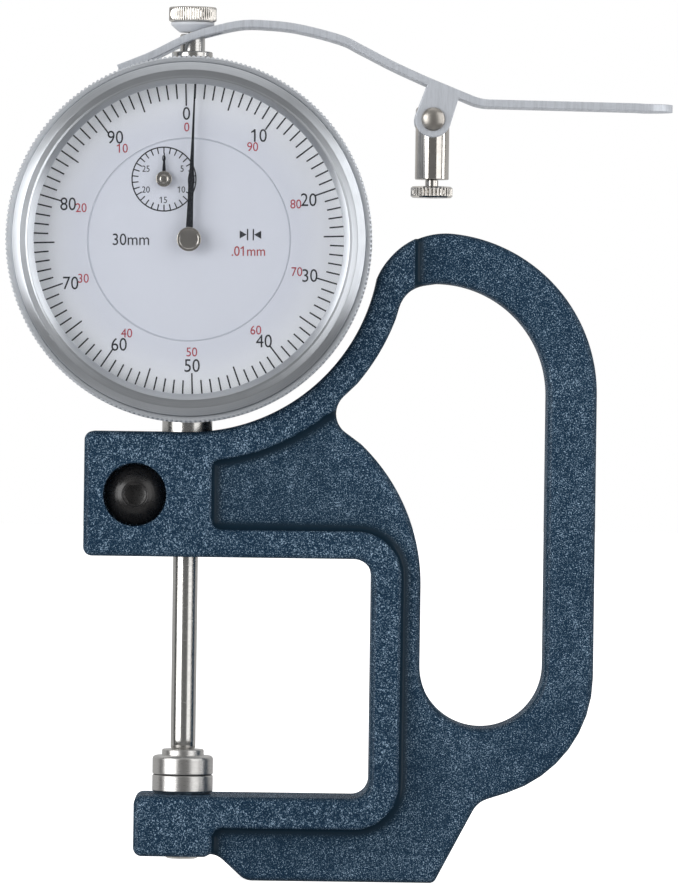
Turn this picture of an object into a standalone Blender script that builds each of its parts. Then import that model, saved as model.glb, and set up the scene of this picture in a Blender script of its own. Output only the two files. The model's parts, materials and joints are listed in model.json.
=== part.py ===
# Dial thickness gauge with a lifting lever, as separate pieces at their real size.
# Metres, +Z up, the dial faces -Y. The origin is the middle of the flat foot.
# Pieces are drawn about the gauge point: the spindle axis where it meets the anvil face.
# In a turned piece that faces the front, height is the distance in front of the spindle axis.

from math import acos, asin, atan2, ceil, cos, hypot, pi, radians, sin, sqrt

import bmesh
import bpy
from mathutils import Vector

# General sizes
fit_gap = 0.0003
overrun = 0.001
tooth_gap = 0.00015
weld_distance = 0.000002
arc_step = radians(9)
round_sides = 24
small_sides = 12
tiny_sides = 8

# Measuring line: spindle, contacts and travel
spindle_radius = 0.002
spindle_foot = 0.0044
neck_length = 0.0031
travel = 0.030
contact_radius = 0.00485
contact_thickness = 0.0031
contact_chamfer = 0.0005
collar_radius = 0.00335
collar_height = 0.001
stud_radius = 0.0009
stud_length = 0.006
anvil_thickness = 0.0029
anvil_shank_radius = 0.00275
anvil_nose = 0.0134
anvil_nose_round = 0.0007

# Frame casting, measured from the gauge point
raised_half = 0.008
thin_half = 0.006
edge_round = 0.0008
throat_depth = 0.030
upper_arm_bottom = 0.0349
throat_top_round = 0.0023
throat_foot_round = 0.0027
rim_width = 0.0046
lower_rim_width = 0.0049
upper_rim_width = 0.0044
rim_corner = 0.007
block_left = 0.0162
block_right = 0.0041
block_round = 0.0014
pocket_round = 0.0015
lower_block_left = 0.00765
lower_block_right = 0.0048
lower_block_depth = 0.0127
foot_drop = 0.01645
foot_left = 0.0102
foot_right = 0.0402
foot_left_round = 0.003
foot_right_round = 0.0012
heel_x = 0.0052
heel_round = 0.004
slope_x = 0.047
slope_drop = 0.0035
slope_round = 0.004
outer_x = 0.0651
outer_corner_z = 0.0024
outer_corner_round = 0.0195
crown_x = 0.0396
crown_z = 0.0614
hump_radius = 0.0116
hump_blend = 0.00002
rim_step_x = 0.0359
rim_proud = 0.00015
rim_overlap = 0.0005
cradle_clearance = 0.0015
cradle_rim = 0.0047

# Finger opening of the handle
opening_rim_width = 0.0046
opening_web_radius = 0.0307
opening_web_x = 0.0068
opening_left = 0.0375
opening_right = 0.0573
opening_foot = 0.0181
opening_web_z = 0.0307
opening_crown_x = 0.0396
opening_crown_z = 0.0612
opening_tip_round = 0.0024
opening_corner_round = 0.0052

# Clamp of the stem
slit_half = 0.0006
clamp_x = 0.0081
clamp_z = 0.0447
clamp_head_radius = 0.00475
clamp_head_height = 0.0026
clamp_shank_radius = 0.0025
clamp_shank_length = 0.0115
clamp_hex_radius = 0.00173
clamp_hex_depth = 0.0016
clamp_dome = 0.0009
clamp_seat_depth = 0.0031

# Dial case and stem
dial_z = 0.0852
stem_radius = 0.004
stem_foot = 0.0355
stem_inset = 0.0002
case_radius = 0.027
case_wall = 0.0028
case_back = 0.0062
floor_back = 0.0083
floor_thickness = 0.001
ring_groove_depth = 0.0008
ring_groove_width = 0.0012
ring_thickness = 0.00045
bush_radius = 0.00335
bush_rise = 0.0004
bush_flange_radius = 0.00325
bush_flange_height = 0.0008
bush_inset = 0.0008

# Back cover
cover_inset = 0.0002
cover_thickness = 0.0016
cover_screw_inset = 0.0016
cover_screw_head = 0.0014
cover_screw_head_height = 0.0007
cover_screw_shank = 0.0006
cover_screw_length = 0.004
cover_screw_count = 4
slot_half = 0.00015
slot_depth = 0.0003

# Bezel, crystal and dial
bezel_wall = 0.002
bezel_back = 0.0077
bezel_front = 0.015
bezel_groove_inset = 0.0011
bezel_bevel_width = 0.0011
bezel_bevel_height = 0.001
bezel_groove_height = 0.0132
bezel_knurl_top = 0.0127
bezel_edge = 0.0003
bezel_slope_inset = 0.0035
bezel_slope_height = 0.0149
bezel_lip = 0.0019
bezel_step = 0.0008
bezel_lip_back = 0.0139
crystal_thickness = 0.0012
dial_thickness = 0.0005
dial_split = 0.0161
dial_bore = 0.0012
dial_sides = 40

# Hands
shaft_radius = 0.0006
hand_back = 0.0115
hand_thickness = 0.0003
hand_lean = radians(1.14)
hand_reach = 0.0246
hand_half = 0.0005
hand_bulge_reach = 0.0095
hand_bulge_half = 0.00062
hand_neck_reach = 0.016
hand_neck_half = 0.0002
hand_tip_half = 0.00008
hand_hub_radius = 0.00195
hand_hub_front = 0.0121
counter_x = 0.0041
counter_rise = 0.0095
counter_hand_back = 0.0106
counter_hand_thickness = 0.0002
counter_hand_reach = 0.0041
counter_hand_half = 0.0003
counter_hub_radius = 0.0013
counter_hub_front = 0.011

# Gear train, heights in front of the spindle axis
plate_clearance = 0.0017
plate_thickness = 0.0008
middle_plate_back = 0.0025
front_plate_back = 0.0064
pivot_radius = 0.0005
rack_pitch = 0.000625
rack_tooth_height = 0.0004
rack_flat = 0.00145
rack_foot = 0.04335
rack_tooth_count = 54
pinion_teeth = 24
pinion_half = 0.0013
drive_distance = 0.0106
drive_gear_teeth = 120
centre_pinion_teeth = 8
gear_tooth_height = 0.00035
pinion_tooth_height = 0.00025
centre_pivot = 0.0003
gear_thickness = 0.0006
drive_gear_back = 0.0038
centre_pinion_back = 0.0036
centre_pinion_length = 0.0022
take_up_angle = radians(150)
take_up_back = 0.005
counter_gear_back = 0.0075
counter_gear_thickness = 0.0004
counter_pinion_teeth = 24
counter_gear_teeth = 48
hairspring_inner = 0.0012
hairspring_turns = 4
hairspring_pitch = 0.00075
hairspring_wire = 0.0001
hairspring_points_a_turn = 12
pillar_inset = 0.0025
pillar_angles = (radians(60), radians(215), radians(320))
pillar_radius = 0.0016
movement_screw_radius = 0.0006
movement_screw_head = 0.0013
movement_screw_head_height = 0.0008

# Rear bridge, guide and return spring, distances behind the spindle axis
bridge_back = 0.0024
bridge_thickness = 0.0008
bridge_inner = 0.0018
bridge_outer = 0.0095
bridge_half = 0.0052
bridge_leg_radius = 0.0009
bridge_leg_x = 0.0082
bridge_leg_rise = 0.004
guide_pin_z = 0.074
guide_pin_radius = 0.0008
guide_pin_start = 0.0005
guide_pin_end = 0.0060
guide_roller_radius = 0.0012
arm_half = 0.0006
arm_thickness = 0.0008
arm_back = 0.0029
rail_half = 0.004
rail_slot_half = 0.0015
rail_tail = 0.0077
rail_end = 0.001
rail_margin = 0.0006
rail_back = 0.0053
rail_thickness = 0.0009
spring_x = 0.0055
spring_radius = 0.0013
spring_wire = 0.00015
spring_turns = 12
spring_points_a_turn = 8
peg_radius = 0.0008
peg_sink = 0.0002
peg_length = 0.0026

# Lifting knob on the spindle
bowl_height = 0.0016
bowl_neck = 0.0021
bowl_radius = 0.00345
bowl_rim = 0.0004
knob_radius = 0.0038
knob_height = 0.0021
knob_edge = 0.0003
knob_stud_radius = 0.0007
knob_stud_length = 0.0047

# Lifting lever
sheet = 0.0012
lever_half_width = 0.0045
pivot_x = 0.0385
pivot_drop = 0.0144
tongue_end = 0.0768
tongue_rise = 0.0023
tongue_bend_x = 0.0465
lever_tip_x = 0.0117
lever_rise = 0.007
lever_crown_rise = 0.0009
lever_line_shares = ((0.0, 0.0), (0.087, 0.30), (0.158, 0.60), (0.192, 0.73), (0.242, 0.87),
                     (0.332, 1.0), (0.407, 1.0), (0.493, 0.93), (0.607, 0.70), (0.667, 0.47),
                     (0.754, 0.114), (0.854, -0.243))
fork_slot_half = 0.0024
fork_slot_end = 0.0036
ear_radius = 0.003
rivet_radius = 0.0009
rivet_dome_radius = 0.0019
rivet_dome_height = 0.0007
post_radius = 0.0027
post_drop = 0.0095
post_head_rise = 0.0021
post_stud_radius = 0.0008
thumb_radius = 0.00335
thumb_neck = 0.0011
thumb_height = 0.0018
thumb_collar_radius = 0.00105
thumb_collar_height = 0.0007
thumb_lobes = 12
thumb_lobe_depth = 0.00035

# Finishes: colour, roughness, metallic
finishes = {
    "painted_iron": ((0.020, 0.060, 0.115), 0.42, 0.0),
    "steel": ((0.62, 0.62, 0.61), 0.25, 1.0),
    "nickel": ((0.72, 0.71, 0.68), 0.16, 1.0),
    "black_oxide": ((0.015, 0.015, 0.016), 0.35, 0.7),
    "satin_aluminium": ((0.58, 0.59, 0.60), 0.32, 1.0),
    "zinc": ((0.52, 0.54, 0.56), 0.35, 1.0),
    "brass": ((0.62, 0.45, 0.17), 0.28, 1.0),
    "dial_enamel": ((0.58, 0.63, 0.72), 0.6, 0.0),
    "black_lacquer": ((0.01, 0.01, 0.01), 0.4, 0.0),
    "pale_plastic": ((0.72, 0.74, 0.76), 0.4, 0.0),
    "clear_glass": ((0.95, 0.97, 0.98), 0.03, 0.0),
}

# Where two circles cross; side picks the left or right of the line from the first centre to the second
def crossing(x1, z1, r1, x2, z2, r2, side):
    span = hypot(x2 - x1, z2 - z1)
    along = (r1 ** 2 - r2 ** 2 + span ** 2) / (2 * span)
    off = side * sqrt(r1 ** 2 - along ** 2)
    ux, uz = (x2 - x1) / span, (z2 - z1) / span
    return x1 + along * ux - off * uz, z1 + along * uz + off * ux


# Places that follow from the sizes above
case_inner = case_radius - case_wall
bezel_radius = case_radius + bezel_wall
bezel_bevel_outer = bezel_radius - bezel_groove_inset
bezel_bevel_inner = bezel_bevel_outer - bezel_bevel_width
bezel_slope_outer = bezel_radius - bezel_slope_inset
bezel_seat_radius = case_radius - bezel_step
bezel_window = bezel_seat_radius - bezel_lip
floor_front = floor_back + floor_thickness
dial_back = floor_front + fit_gap
cradle_radius = bezel_radius + cradle_clearance
block_top = dial_z - cradle_radius
opening_rim_radius = cradle_radius + opening_rim_width
crown_radius = outer_x - crown_x
hump_x, hump_z = crossing(0, dial_z, cradle_radius + hump_radius - hump_blend,
                          crown_x, crown_z, crown_radius - hump_radius, 1)
opening_crown_radius = opening_right - opening_crown_x
stem_head = dial_z - case_inner + stem_inset
bush_foot = dial_z + case_inner - bush_inset
bush_top = dial_z + bezel_radius + bush_rise
bowl_foot = bush_top + bush_flange_height + neck_length
bowl_head = bowl_foot + bowl_height
spindle_top = bowl_foot - fit_gap
knob_foot = bowl_head + fit_gap
knob_top = knob_foot + knob_height
knob_stud_foot = spindle_top - knob_stud_length
lever_crown_z = bowl_foot + lever_crown_rise
lever_tip_z = lever_crown_z - lever_rise
pivot_z = lever_crown_z - pivot_drop
tongue_z = pivot_z + tongue_rise
post_foot = pivot_z - post_drop
thumb_head = post_foot - thumb_neck
thumb_foot = thumb_head - thumb_height
cover_radius = case_radius - cover_inset
cover_screw_circle = case_radius - cover_screw_inset
plate_radius = case_inner - plate_clearance
pillar_circle = plate_radius - pillar_inset
peg_foot = dial_z - case_inner - peg_sink
peg_head = peg_foot + peg_length
front_plate_front = front_plate_back + plate_thickness
middle_plate_front = middle_plate_back + plate_thickness
pinion_radius = rack_pitch * pinion_teeth / (2 * pi)
drive_x = -(rack_flat + tooth_gap + pinion_radius)
drive_rise = -sqrt(drive_distance ** 2 - drive_x ** 2)
drive_z = dial_z + drive_rise
counter_z = dial_z + counter_rise
take_up_x = drive_distance * cos(take_up_angle)
take_up_z = dial_z + drive_distance * sin(take_up_angle)
counter_distance = hypot(take_up_x + counter_x, take_up_z - counter_z)
slot_foot = guide_pin_z - guide_roller_radius - rail_margin
slot_head = guide_pin_z + travel + guide_roller_radius + rail_margin
rail_foot = slot_foot - rail_tail
rail_head = slot_head + rail_end


def clear_scene():
    for obj in list(bpy.data.objects):
        bpy.data.objects.remove(obj, do_unlink=True)
    for block in (bpy.data.meshes, bpy.data.curves, bpy.data.materials, bpy.data.collections):
        for item in list(block):
            block.remove(item)


clear_scene()
gauge_parts = bpy.data.collections.new("dial_thickness_gauge")
gauge_cutters = bpy.data.collections.new("gauge_cutters")
bpy.context.scene.collection.children.link(gauge_parts)
bpy.context.scene.collection.children.link(gauge_cutters)


def make_material(piece, finish):
    colour, roughness, metallic = finishes[finish]
    material = bpy.data.materials.new(piece + "_" + finish)
    material.use_nodes = True
    shader = material.node_tree.nodes["Principled BSDF"]
    shader.inputs["Base Color"].default_value = (*colour, 1.0)
    shader.inputs["Roughness"].default_value = roughness
    shader.inputs["Metallic"].default_value = metallic
    if finish == "clear_glass":
        shader.inputs["Transmission Weight"].default_value = 1.0
    return material


def axis_empty(name, x, y, z, parent=None):
    empty = bpy.data.objects.new(name, None)
    empty.location = (x, y, z)
    empty.parent = parent
    gauge_parts.objects.link(empty)
    return empty


# Every piece hangs on the gauge point; moving pieces hang on their own axis
gauge_point = axis_empty("gauge_point", -(foot_left + foot_right) / 2, 0, foot_drop)
dial_axis = axis_empty("dial_axis", 0, 0, dial_z, gauge_point)
bezel_axis = axis_empty("bezel_axis", 0, 0, dial_z, gauge_point)
hand_axis = axis_empty("hand_axis", 0, 0, dial_z, gauge_point)
drive_axis = axis_empty("drive_axis", drive_x, 0, drive_z, gauge_point)
counter_axis = axis_empty("counter_axis", -counter_x, 0, counter_z, gauge_point)
take_up_axis = axis_empty("take_up_axis", take_up_x, 0, take_up_z, gauge_point)
spindle_axis = axis_empty("spindle_axis", 0, 0, 0, gauge_point)
lever_axis = axis_empty("lever_axis", pivot_x, 0, pivot_z, gauge_point)
post_axis = axis_empty("post_axis", pivot_x, 0, 0, gauge_point)


def dress(obj, name, finish, parent, location, facing):
    obj.name = name
    obj.parent = parent
    obj.location = location
    if facing == "front":
        obj.rotation_euler = (pi / 2, 0, 0)
    obj.data.name = name
    obj.data.materials.clear()
    obj.data.materials.append(make_material(name, finish))
    return obj


def shade(mesh):
    mesh.shade_smooth()
    mesh.set_sharp_from_angle(angle=radians(35))


def link_part(mesh, name):
    obj = bpy.data.objects.new(name, mesh)
    gauge_parts.objects.link(obj)
    return obj


def as_cutter(obj):
    gauge_parts.objects.unlink(obj)
    gauge_cutters.objects.link(obj)
    obj.hide_render = True
    obj.display_type = "WIRE"
    return obj


# A profile of (radius, height) points turned about its own upright axis
def turned(name, profile, finish, parent=None, location=(0, 0, 0), facing="up", sides=round_sides):
    mesh = bpy.data.meshes.new(name)
    points = [(radius, 0, height) for radius, height in profile]
    edges = [(i, i + 1) for i in range(len(points) - 1)]
    if profile[0][0] > 0:
        edges.append((len(points) - 1, 0))
    mesh.from_pydata(points, edges, [])
    obj = link_part(mesh, name)
    screw = obj.modifiers.new("turn", "SCREW")
    screw.axis = "Z"
    screw.steps = sides
    screw.render_steps = sides
    screw.use_merge_vertices = True
    screw.merge_threshold = weld_distance
    screw.use_smooth_shade = True
    return dress(obj, name, finish, parent, location, facing)


def evaluated_mesh(obj):
    bpy.context.view_layer.update()
    graph = bpy.context.evaluated_depsgraph_get()
    mesh = bpy.data.meshes.new_from_object(obj.evaluated_get(graph))
    shape = bmesh.new()
    shape.from_mesh(mesh)
    bmesh.ops.remove_doubles(shape, verts=shape.verts, dist=weld_distance)
    bmesh.ops.recalc_face_normals(shape, faces=shape.faces)
    shape.to_mesh(mesh)
    shape.free()
    return mesh


# A flat outline with holes, given thickness; the loops lie in X and Z for a piece that faces front
def flat_piece(name, loops, half, finish, parent=None, location=(0, 0, 0), facing="front", rounding=0.0):
    curve = bpy.data.curves.new(name, "CURVE")
    curve.dimensions = "2D"
    curve.fill_mode = "BOTH"
    curve.extrude = half - rounding
    curve.bevel_depth = rounding
    curve.bevel_resolution = 1
    curve.offset = -rounding
    for loop in loops:
        spline = curve.splines.new("POLY")
        spline.points.add(len(loop) - 1)
        for point, (x, z) in zip(spline.points, loop):
            point.co = (x, z, 0, 1)
        spline.use_cyclic_u = True
    source = bpy.data.objects.new(name + "_outline", curve)
    gauge_parts.objects.link(source)
    mesh = evaluated_mesh(source)
    bpy.data.objects.remove(source, do_unlink=True)
    bpy.data.curves.remove(curve)
    shade(mesh)
    return dress(link_part(mesh, name), name, finish, parent, location, facing)


# A round wire along points
def wire_piece(name, points, radius, finish, parent=None, location=(0, 0, 0), facing="up", resolution=1):
    curve = bpy.data.curves.new(name, "CURVE")
    curve.dimensions = "3D"
    curve.bevel_depth = radius
    curve.bevel_resolution = resolution
    curve.use_fill_caps = True
    spline = curve.splines.new("POLY")
    spline.points.add(len(points) - 1)
    for point, place in zip(spline.points, points):
        point.co = (*place, 1)
    source = bpy.data.objects.new(name + "_line", curve)
    gauge_parts.objects.link(source)
    mesh = evaluated_mesh(source)
    bpy.data.objects.remove(source, do_unlink=True)
    bpy.data.curves.remove(curve)
    shade(mesh)
    return dress(link_part(mesh, name), name, finish, parent, location, facing)


# A round bar along X, Y or Z, used for cuts, pins and bosses
def bar(name, radius, length, centre, along="Z", sides=small_sides, parent=None):
    mesh = bpy.data.meshes.new(name)
    shape = bmesh.new()
    bmesh.ops.create_cone(shape, cap_ends=True, segments=sides, radius1=radius, radius2=radius, depth=length)
    shape.to_mesh(mesh)
    shape.free()
    obj = link_part(mesh, name)
    obj.parent = parent
    obj.location = centre
    obj.rotation_euler = {"X": (0, pi / 2, 0), "Y": (pi / 2, 0, 0), "Z": (0, 0, 0)}[along]
    return as_cutter(obj)


def block(name, low, high, parent=None):
    mesh = bpy.data.meshes.new(name)
    shape = bmesh.new()
    bmesh.ops.create_cube(shape, size=1)
    spans = [b - a for a, b in zip(low, high)]
    for vert in shape.verts:
        vert.co = Vector([c * span for c, span in zip(vert.co, spans)])
    shape.to_mesh(mesh)
    shape.free()
    obj = link_part(mesh, name)
    obj.parent = parent
    obj.location = [(a + b) / 2 for a, b in zip(low, high)]
    return as_cutter(obj)


def combine(obj, other, operation):
    step = obj.modifiers.new(operation.lower() + "_" + other.name, "BOOLEAN")
    step.operation = operation
    step.object = other
    step.solver = "EXACT"
    return obj


def cut(obj, *others):
    for other in others:
        combine(obj, other, "DIFFERENCE")
    return obj


def join(obj, *others):
    for other in others:
        if other.name in gauge_parts.objects:
            as_cutter(other)
        combine(obj, other, "UNION")
    return obj


# For a piece where several exact cuts in a row would leave a seam open
def close_seams(obj):
    for step in obj.modifiers:
        if step.type == "BOOLEAN":
            step.solver = "MANIFOLD"


# Points along an arc, angles in radians
def arc(x, z, radius, start, end, step=arc_step):
    count = max(2, ceil(abs(end - start) / step))
    turns = [start + (end - start) * i / count for i in range(count + 1)]
    return [(x + radius * cos(a), z + radius * sin(a)) for a in turns]


def circle(x, z, radius, sides):
    return [(x + radius * cos(2 * pi * i / sides), z + radius * sin(2 * pi * i / sides)) for i in range(sides)]


# Stations are (x, z) points, or (x, z, radius) corners that are rounded off with that radius
def rounded(stations):
    result = []
    count = len(stations)
    for i, station in enumerate(stations):
        if len(station) == 2:
            result.append(station)
            continue
        corner = Vector(station[:2])
        before = (Vector(stations[i - 1][:2]) - corner).normalized()
        after = (Vector(stations[(i + 1) % count][:2]) - corner).normalized()
        half = acos(max(-1.0, min(1.0, before.dot(after)))) / 2
        middle = corner + (before + after).normalized() * (station[2] / sin(half))
        start = corner + before * (station[2] / tan_of(half)) - middle
        end = corner + after * (station[2] / tan_of(half)) - middle
        first = atan2(start.y, start.x)
        sweep = (atan2(end.y, end.x) - first + pi) % (2 * pi) - pi
        result += arc(middle.x, middle.y, station[2], first, first + sweep, arc_step * 2)
    return result


def tan_of(angle):
    return sin(angle) / cos(angle)


# Gear outline: fine pointed teeth, one root and one tip point each
def toothed(tip, root, teeth):
    points = []
    for i in range(2 * teeth):
        radius = tip if i % 2 else root
        angle = pi * i / teeth
        points.append((radius * cos(angle), radius * sin(angle)))
    return points


def gear(name, tip, teeth, back, thickness, parent, tooth_height=gear_tooth_height):
    half = thickness / 2
    return flat_piece(name, [toothed(tip, tip - tooth_height, teeth)], half, "brass", parent,
                      (0, -back - half, 0))


# Frame casting
def raised_outline():
    start = asin((hump_z - dial_z) / cradle_radius)
    meet = crossing(0, dial_z, cradle_radius, hump_x, hump_z, hump_radius + rim_proud, 1)
    cradle_end = atan2(meet[1] - dial_z, meet[0])
    hump_start = atan2(meet[1] - hump_z, meet[0] - hump_x)
    hump_end = acos((rim_step_x - hump_x) / (hump_radius + rim_proud))
    rim = cradle_radius + cradle_rim
    pocket = acos(block_right / rim)
    tip = crossing(0, dial_z, opening_rim_radius, opening_web_x, opening_web_z, opening_web_radius, 1)
    tip_angle = atan2(tip[1] - dial_z, tip[0])
    upper_rim = upper_arm_bottom + upper_rim_width
    lower_rim = -anvil_thickness - lower_rim_width
    rim_x = throat_depth + rim_width
    through = opening_rim_radius + 3 * rim_overlap
    return rounded(
        [(-block_left, upper_arm_bottom, block_round), (-block_left, block_top, block_round)]
        + arc(0, dial_z, cradle_radius, -pi / 2, cradle_end)
        + arc(hump_x, hump_z, hump_radius + rim_proud, hump_start, hump_end)
        + [(rim_step_x, opening_crown_z + opening_crown_radius - opening_corner_round / 2)]
        + arc(0, dial_z, through, start - arc_step, tip_angle + arc_step)
        + arc(0, dial_z, rim, tip_angle, -pocket)
        + [(block_right, upper_rim, pocket_round), (rim_x, upper_rim, rim_corner),
           (rim_x, lower_rim, rim_corner), (lower_block_right, lower_rim, pocket_round),
           (lower_block_right, -lower_block_depth, block_round),
           (-lower_block_left, -lower_block_depth, block_round),
           (-lower_block_left, -anvil_thickness, block_round),
           (throat_depth, -anvil_thickness, throat_foot_round),
           (throat_depth, upper_arm_bottom, throat_top_round)])


# The thin level stays a little inside the raised rims, so that their side walls never meet
def thin_outline():
    inset = rim_overlap
    cradle = cradle_radius + inset
    meet = crossing(0, dial_z, cradle, hump_x, hump_z, hump_radius, 1)
    tangent = atan2(hump_z - crown_z, hump_x - crown_x)
    return rounded(
        [(0, upper_arm_bottom + inset), (0, block_top - inset)]
        + arc(0, dial_z, cradle, -pi / 2, atan2(meet[1] - dial_z, meet[0]))[1:]
        + arc(hump_x, hump_z, hump_radius, atan2(meet[1] - hump_z, meet[0] - hump_x), tangent)[1:]
        + arc(crown_x, crown_z, crown_radius, tangent, 0)[1:]
        + [(outer_x, outer_corner_z, outer_corner_round), (slope_x, -slope_drop, slope_round),
           (foot_right, -foot_drop, foot_right_round), (foot_left, -foot_drop, foot_left_round),
           (heel_x, -lower_block_depth + inset, heel_round),
           (0, -lower_block_depth + inset), (0, -anvil_thickness - inset),
           (throat_depth + inset, -anvil_thickness - inset, throat_foot_round),
           (throat_depth + inset, upper_arm_bottom + inset, throat_top_round)])


# Finger opening: an arc along the dial rim, the crown, a straight side, a round foot and the web arc
def opening_outline():
    tip = crossing(0, dial_z, opening_rim_radius, opening_web_x, opening_web_z, opening_web_radius, 1)
    corner = crossing(0, dial_z, opening_rim_radius, opening_crown_x, opening_crown_z, opening_crown_radius, 1)
    tip_rim = atan2(tip[1] - dial_z, tip[0]) + 2 * opening_tip_round / opening_rim_radius
    corner_rim = atan2(corner[1] - dial_z, corner[0]) - opening_corner_round / opening_rim_radius
    corner_crown = atan2(corner[1] - opening_crown_z, corner[0] - opening_crown_x)
    tip_web = atan2(tip[1] - opening_web_z, tip[0] - opening_web_x) - 2 * opening_tip_round / opening_web_radius
    foot_radius = (opening_right - opening_left) / 2
    return rounded(
        arc(0, dial_z, opening_rim_radius, tip_rim, corner_rim)
        + [(*corner, opening_corner_round)]
        + arc(opening_crown_x, opening_crown_z, opening_crown_radius,
              corner_crown - opening_corner_round / opening_crown_radius, 0)
        + arc(opening_left + foot_radius, opening_foot, foot_radius, 0, -pi, arc_step * 2)
        + arc(opening_web_x, opening_web_z, opening_web_radius, 0, tip_web)
        + [(*tip, opening_tip_round)])


def make_frame():
    frame = flat_piece("frame", [raised_outline()], raised_half, "painted_iron", gauge_point,
                       rounding=edge_round)
    thin = flat_piece("frame_thin_level", [thin_outline()], thin_half, "painted_iron", gauge_point,
                      rounding=edge_round)
    opening = flat_piece("finger_opening", [opening_outline()], raised_half + overrun, "painted_iron",
                         gauge_point)
    join(frame, thin)
    bore_middle = (upper_arm_bottom + block_top) / 2
    bore_length = block_top - upper_arm_bottom + 2 * overrun
    anvil_middle = -(anvil_thickness + lower_block_depth) / 2
    anvil_length = lower_block_depth - anvil_thickness + 2 * overrun
    seat_floor = raised_half - clamp_seat_depth
    seat_length = clamp_seat_depth + overrun
    cut(frame, as_cutter(opening),
        bar("stem_bore", stem_radius + fit_gap, bore_length, (0, 0, bore_middle), "Z", round_sides, gauge_point),
        block("clamp_slit", (-block_left - overrun, -slit_half, upper_arm_bottom - overrun),
              (-stem_radius / 2, slit_half, block_top + overrun), gauge_point),
        bar("clamp_hole", clamp_shank_radius + fit_gap, 2 * (raised_half + overrun),
            (-clamp_x, 0, clamp_z), "Y", small_sides, gauge_point),
        bar("clamp_seat", clamp_head_radius + fit_gap, seat_length,
            (-clamp_x, -seat_floor - seat_length / 2, clamp_z), "Y", round_sides, gauge_point),
        bar("anvil_bore", anvil_shank_radius + fit_gap, anvil_length, (0, 0, anvil_middle), "Z",
            round_sides, gauge_point))


# Clamp screw: domed head with a hexagon socket, across the slit
def make_clamp_screw():
    seat = raised_half - clamp_seat_depth + fit_gap
    head = seat + clamp_head_height
    screw = turned("clamp_screw",
                   [(0, head), (clamp_head_radius * 0.62, head),
                    (clamp_head_radius, head - clamp_dome), (clamp_head_radius, seat),
                    (clamp_shank_radius, seat), (clamp_shank_radius, head - clamp_shank_length),
                    (0, head - clamp_shank_length)],
                   "black_oxide", gauge_point, (-clamp_x, 0, clamp_z), "front")
    depth = clamp_hex_depth + overrun
    cut(screw, bar("clamp_hexagon", clamp_hex_radius, depth,
                   (-clamp_x, -head - overrun + depth / 2, clamp_z), "Y", 6, gauge_point))


def make_anvil():
    rim = contact_radius
    turned("anvil",
           [(0, 0), (rim - contact_chamfer, 0), (rim, -contact_chamfer), (rim, -anvil_thickness + fit_gap),
            (anvil_shank_radius, -anvil_thickness + fit_gap),
            (anvil_shank_radius, -anvil_nose + anvil_nose_round),
            (anvil_shank_radius - anvil_nose_round, -anvil_nose), (0, -anvil_nose)],
           "steel", gauge_point)


# Dial case: a drum whose front floor carries the dial, open at the back
def make_case():
    inner = case_inner
    groove = case_radius - ring_groove_depth
    groove_back = floor_front - 2 * ring_groove_width + ring_groove_depth
    case = turned("case",
                  [(case_radius, floor_front), (case_radius, groove_back + ring_groove_width),
                   (groove, groove_back + ring_groove_width), (groove, groove_back),
                   (case_radius, groove_back), (case_radius, -case_back), (inner, -case_back),
                   (inner, floor_back), (dial_bore, floor_back), (dial_bore, floor_front)],
                  "satin_aluminium", dial_axis, facing="front", sides=dial_sides)
    wall_low = dial_z - case_radius
    cut(case,
        bar("stem_seat", stem_radius + fit_gap, 2 * case_wall + overrun,
            (0, 0, wall_low + case_wall / 2), "Z", round_sides, gauge_point),
        bar("bush_seat", bush_radius + fit_gap, 2 * case_wall + overrun,
            (0, 0, dial_z + case_radius - case_wall / 2), "Z", round_sides, gauge_point),
        bar("counter_floor_hole", shaft_radius + fit_gap, 2 * floor_thickness,
            (-counter_x, -(floor_back + floor_front) / 2, counter_z), "Y", tiny_sides, gauge_point),
        bar("peg_hole", peg_radius + fit_gap, peg_head - peg_foot + fit_gap,
            (spring_x, arm_back + arm_thickness / 2, (peg_head + peg_foot - fit_gap) / 2), "Z",
            tiny_sides, gauge_point))
    for i, angle in enumerate(pillar_angles):
        cut(case, bar("pillar_floor_hole_%d" % i, movement_screw_radius + fit_gap, 2 * floor_thickness,
                      (pillar_circle * cos(angle), -(floor_back + floor_front) / 2,
                       dial_z + pillar_circle * sin(angle)), "Y", tiny_sides, gauge_point))
    depth = cover_screw_length
    for i, (x, z) in enumerate(cover_screw_places()):
        cut(case, bar("cover_screw_hole_%d" % i, cover_screw_shank + fit_gap, depth + overrun,
                      (x, case_back - depth / 2 + overrun / 2, dial_z + z), "Y", tiny_sides, gauge_point))


def cover_screw_places():
    return [(cover_screw_circle * cos(pi / 4 + 2 * pi * i / cover_screw_count),
             cover_screw_circle * sin(pi / 4 + 2 * pi * i / cover_screw_count))
            for i in range(cover_screw_count)]


def make_stem():
    bore = spindle_radius + fit_gap
    edge = contact_chamfer
    turned("stem",
           [(bore, stem_head), (stem_radius, stem_head), (stem_radius, stem_foot + edge),
            (stem_radius - edge, stem_foot), (bore, stem_foot)],
           "steel", gauge_point)


def make_upper_bush():
    bore = spindle_radius + fit_gap
    step = bush_radius - bush_flange_radius
    turned("upper_bush",
           [(bore, bush_top + bush_flange_height), (bush_flange_radius - step, bush_top + bush_flange_height),
            (bush_flange_radius, bush_top + bush_flange_height - step), (bush_flange_radius, bush_top),
            (bush_radius, bush_top), (bush_radius, bush_foot), (bore, bush_foot)],
           "steel", gauge_point)


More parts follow.
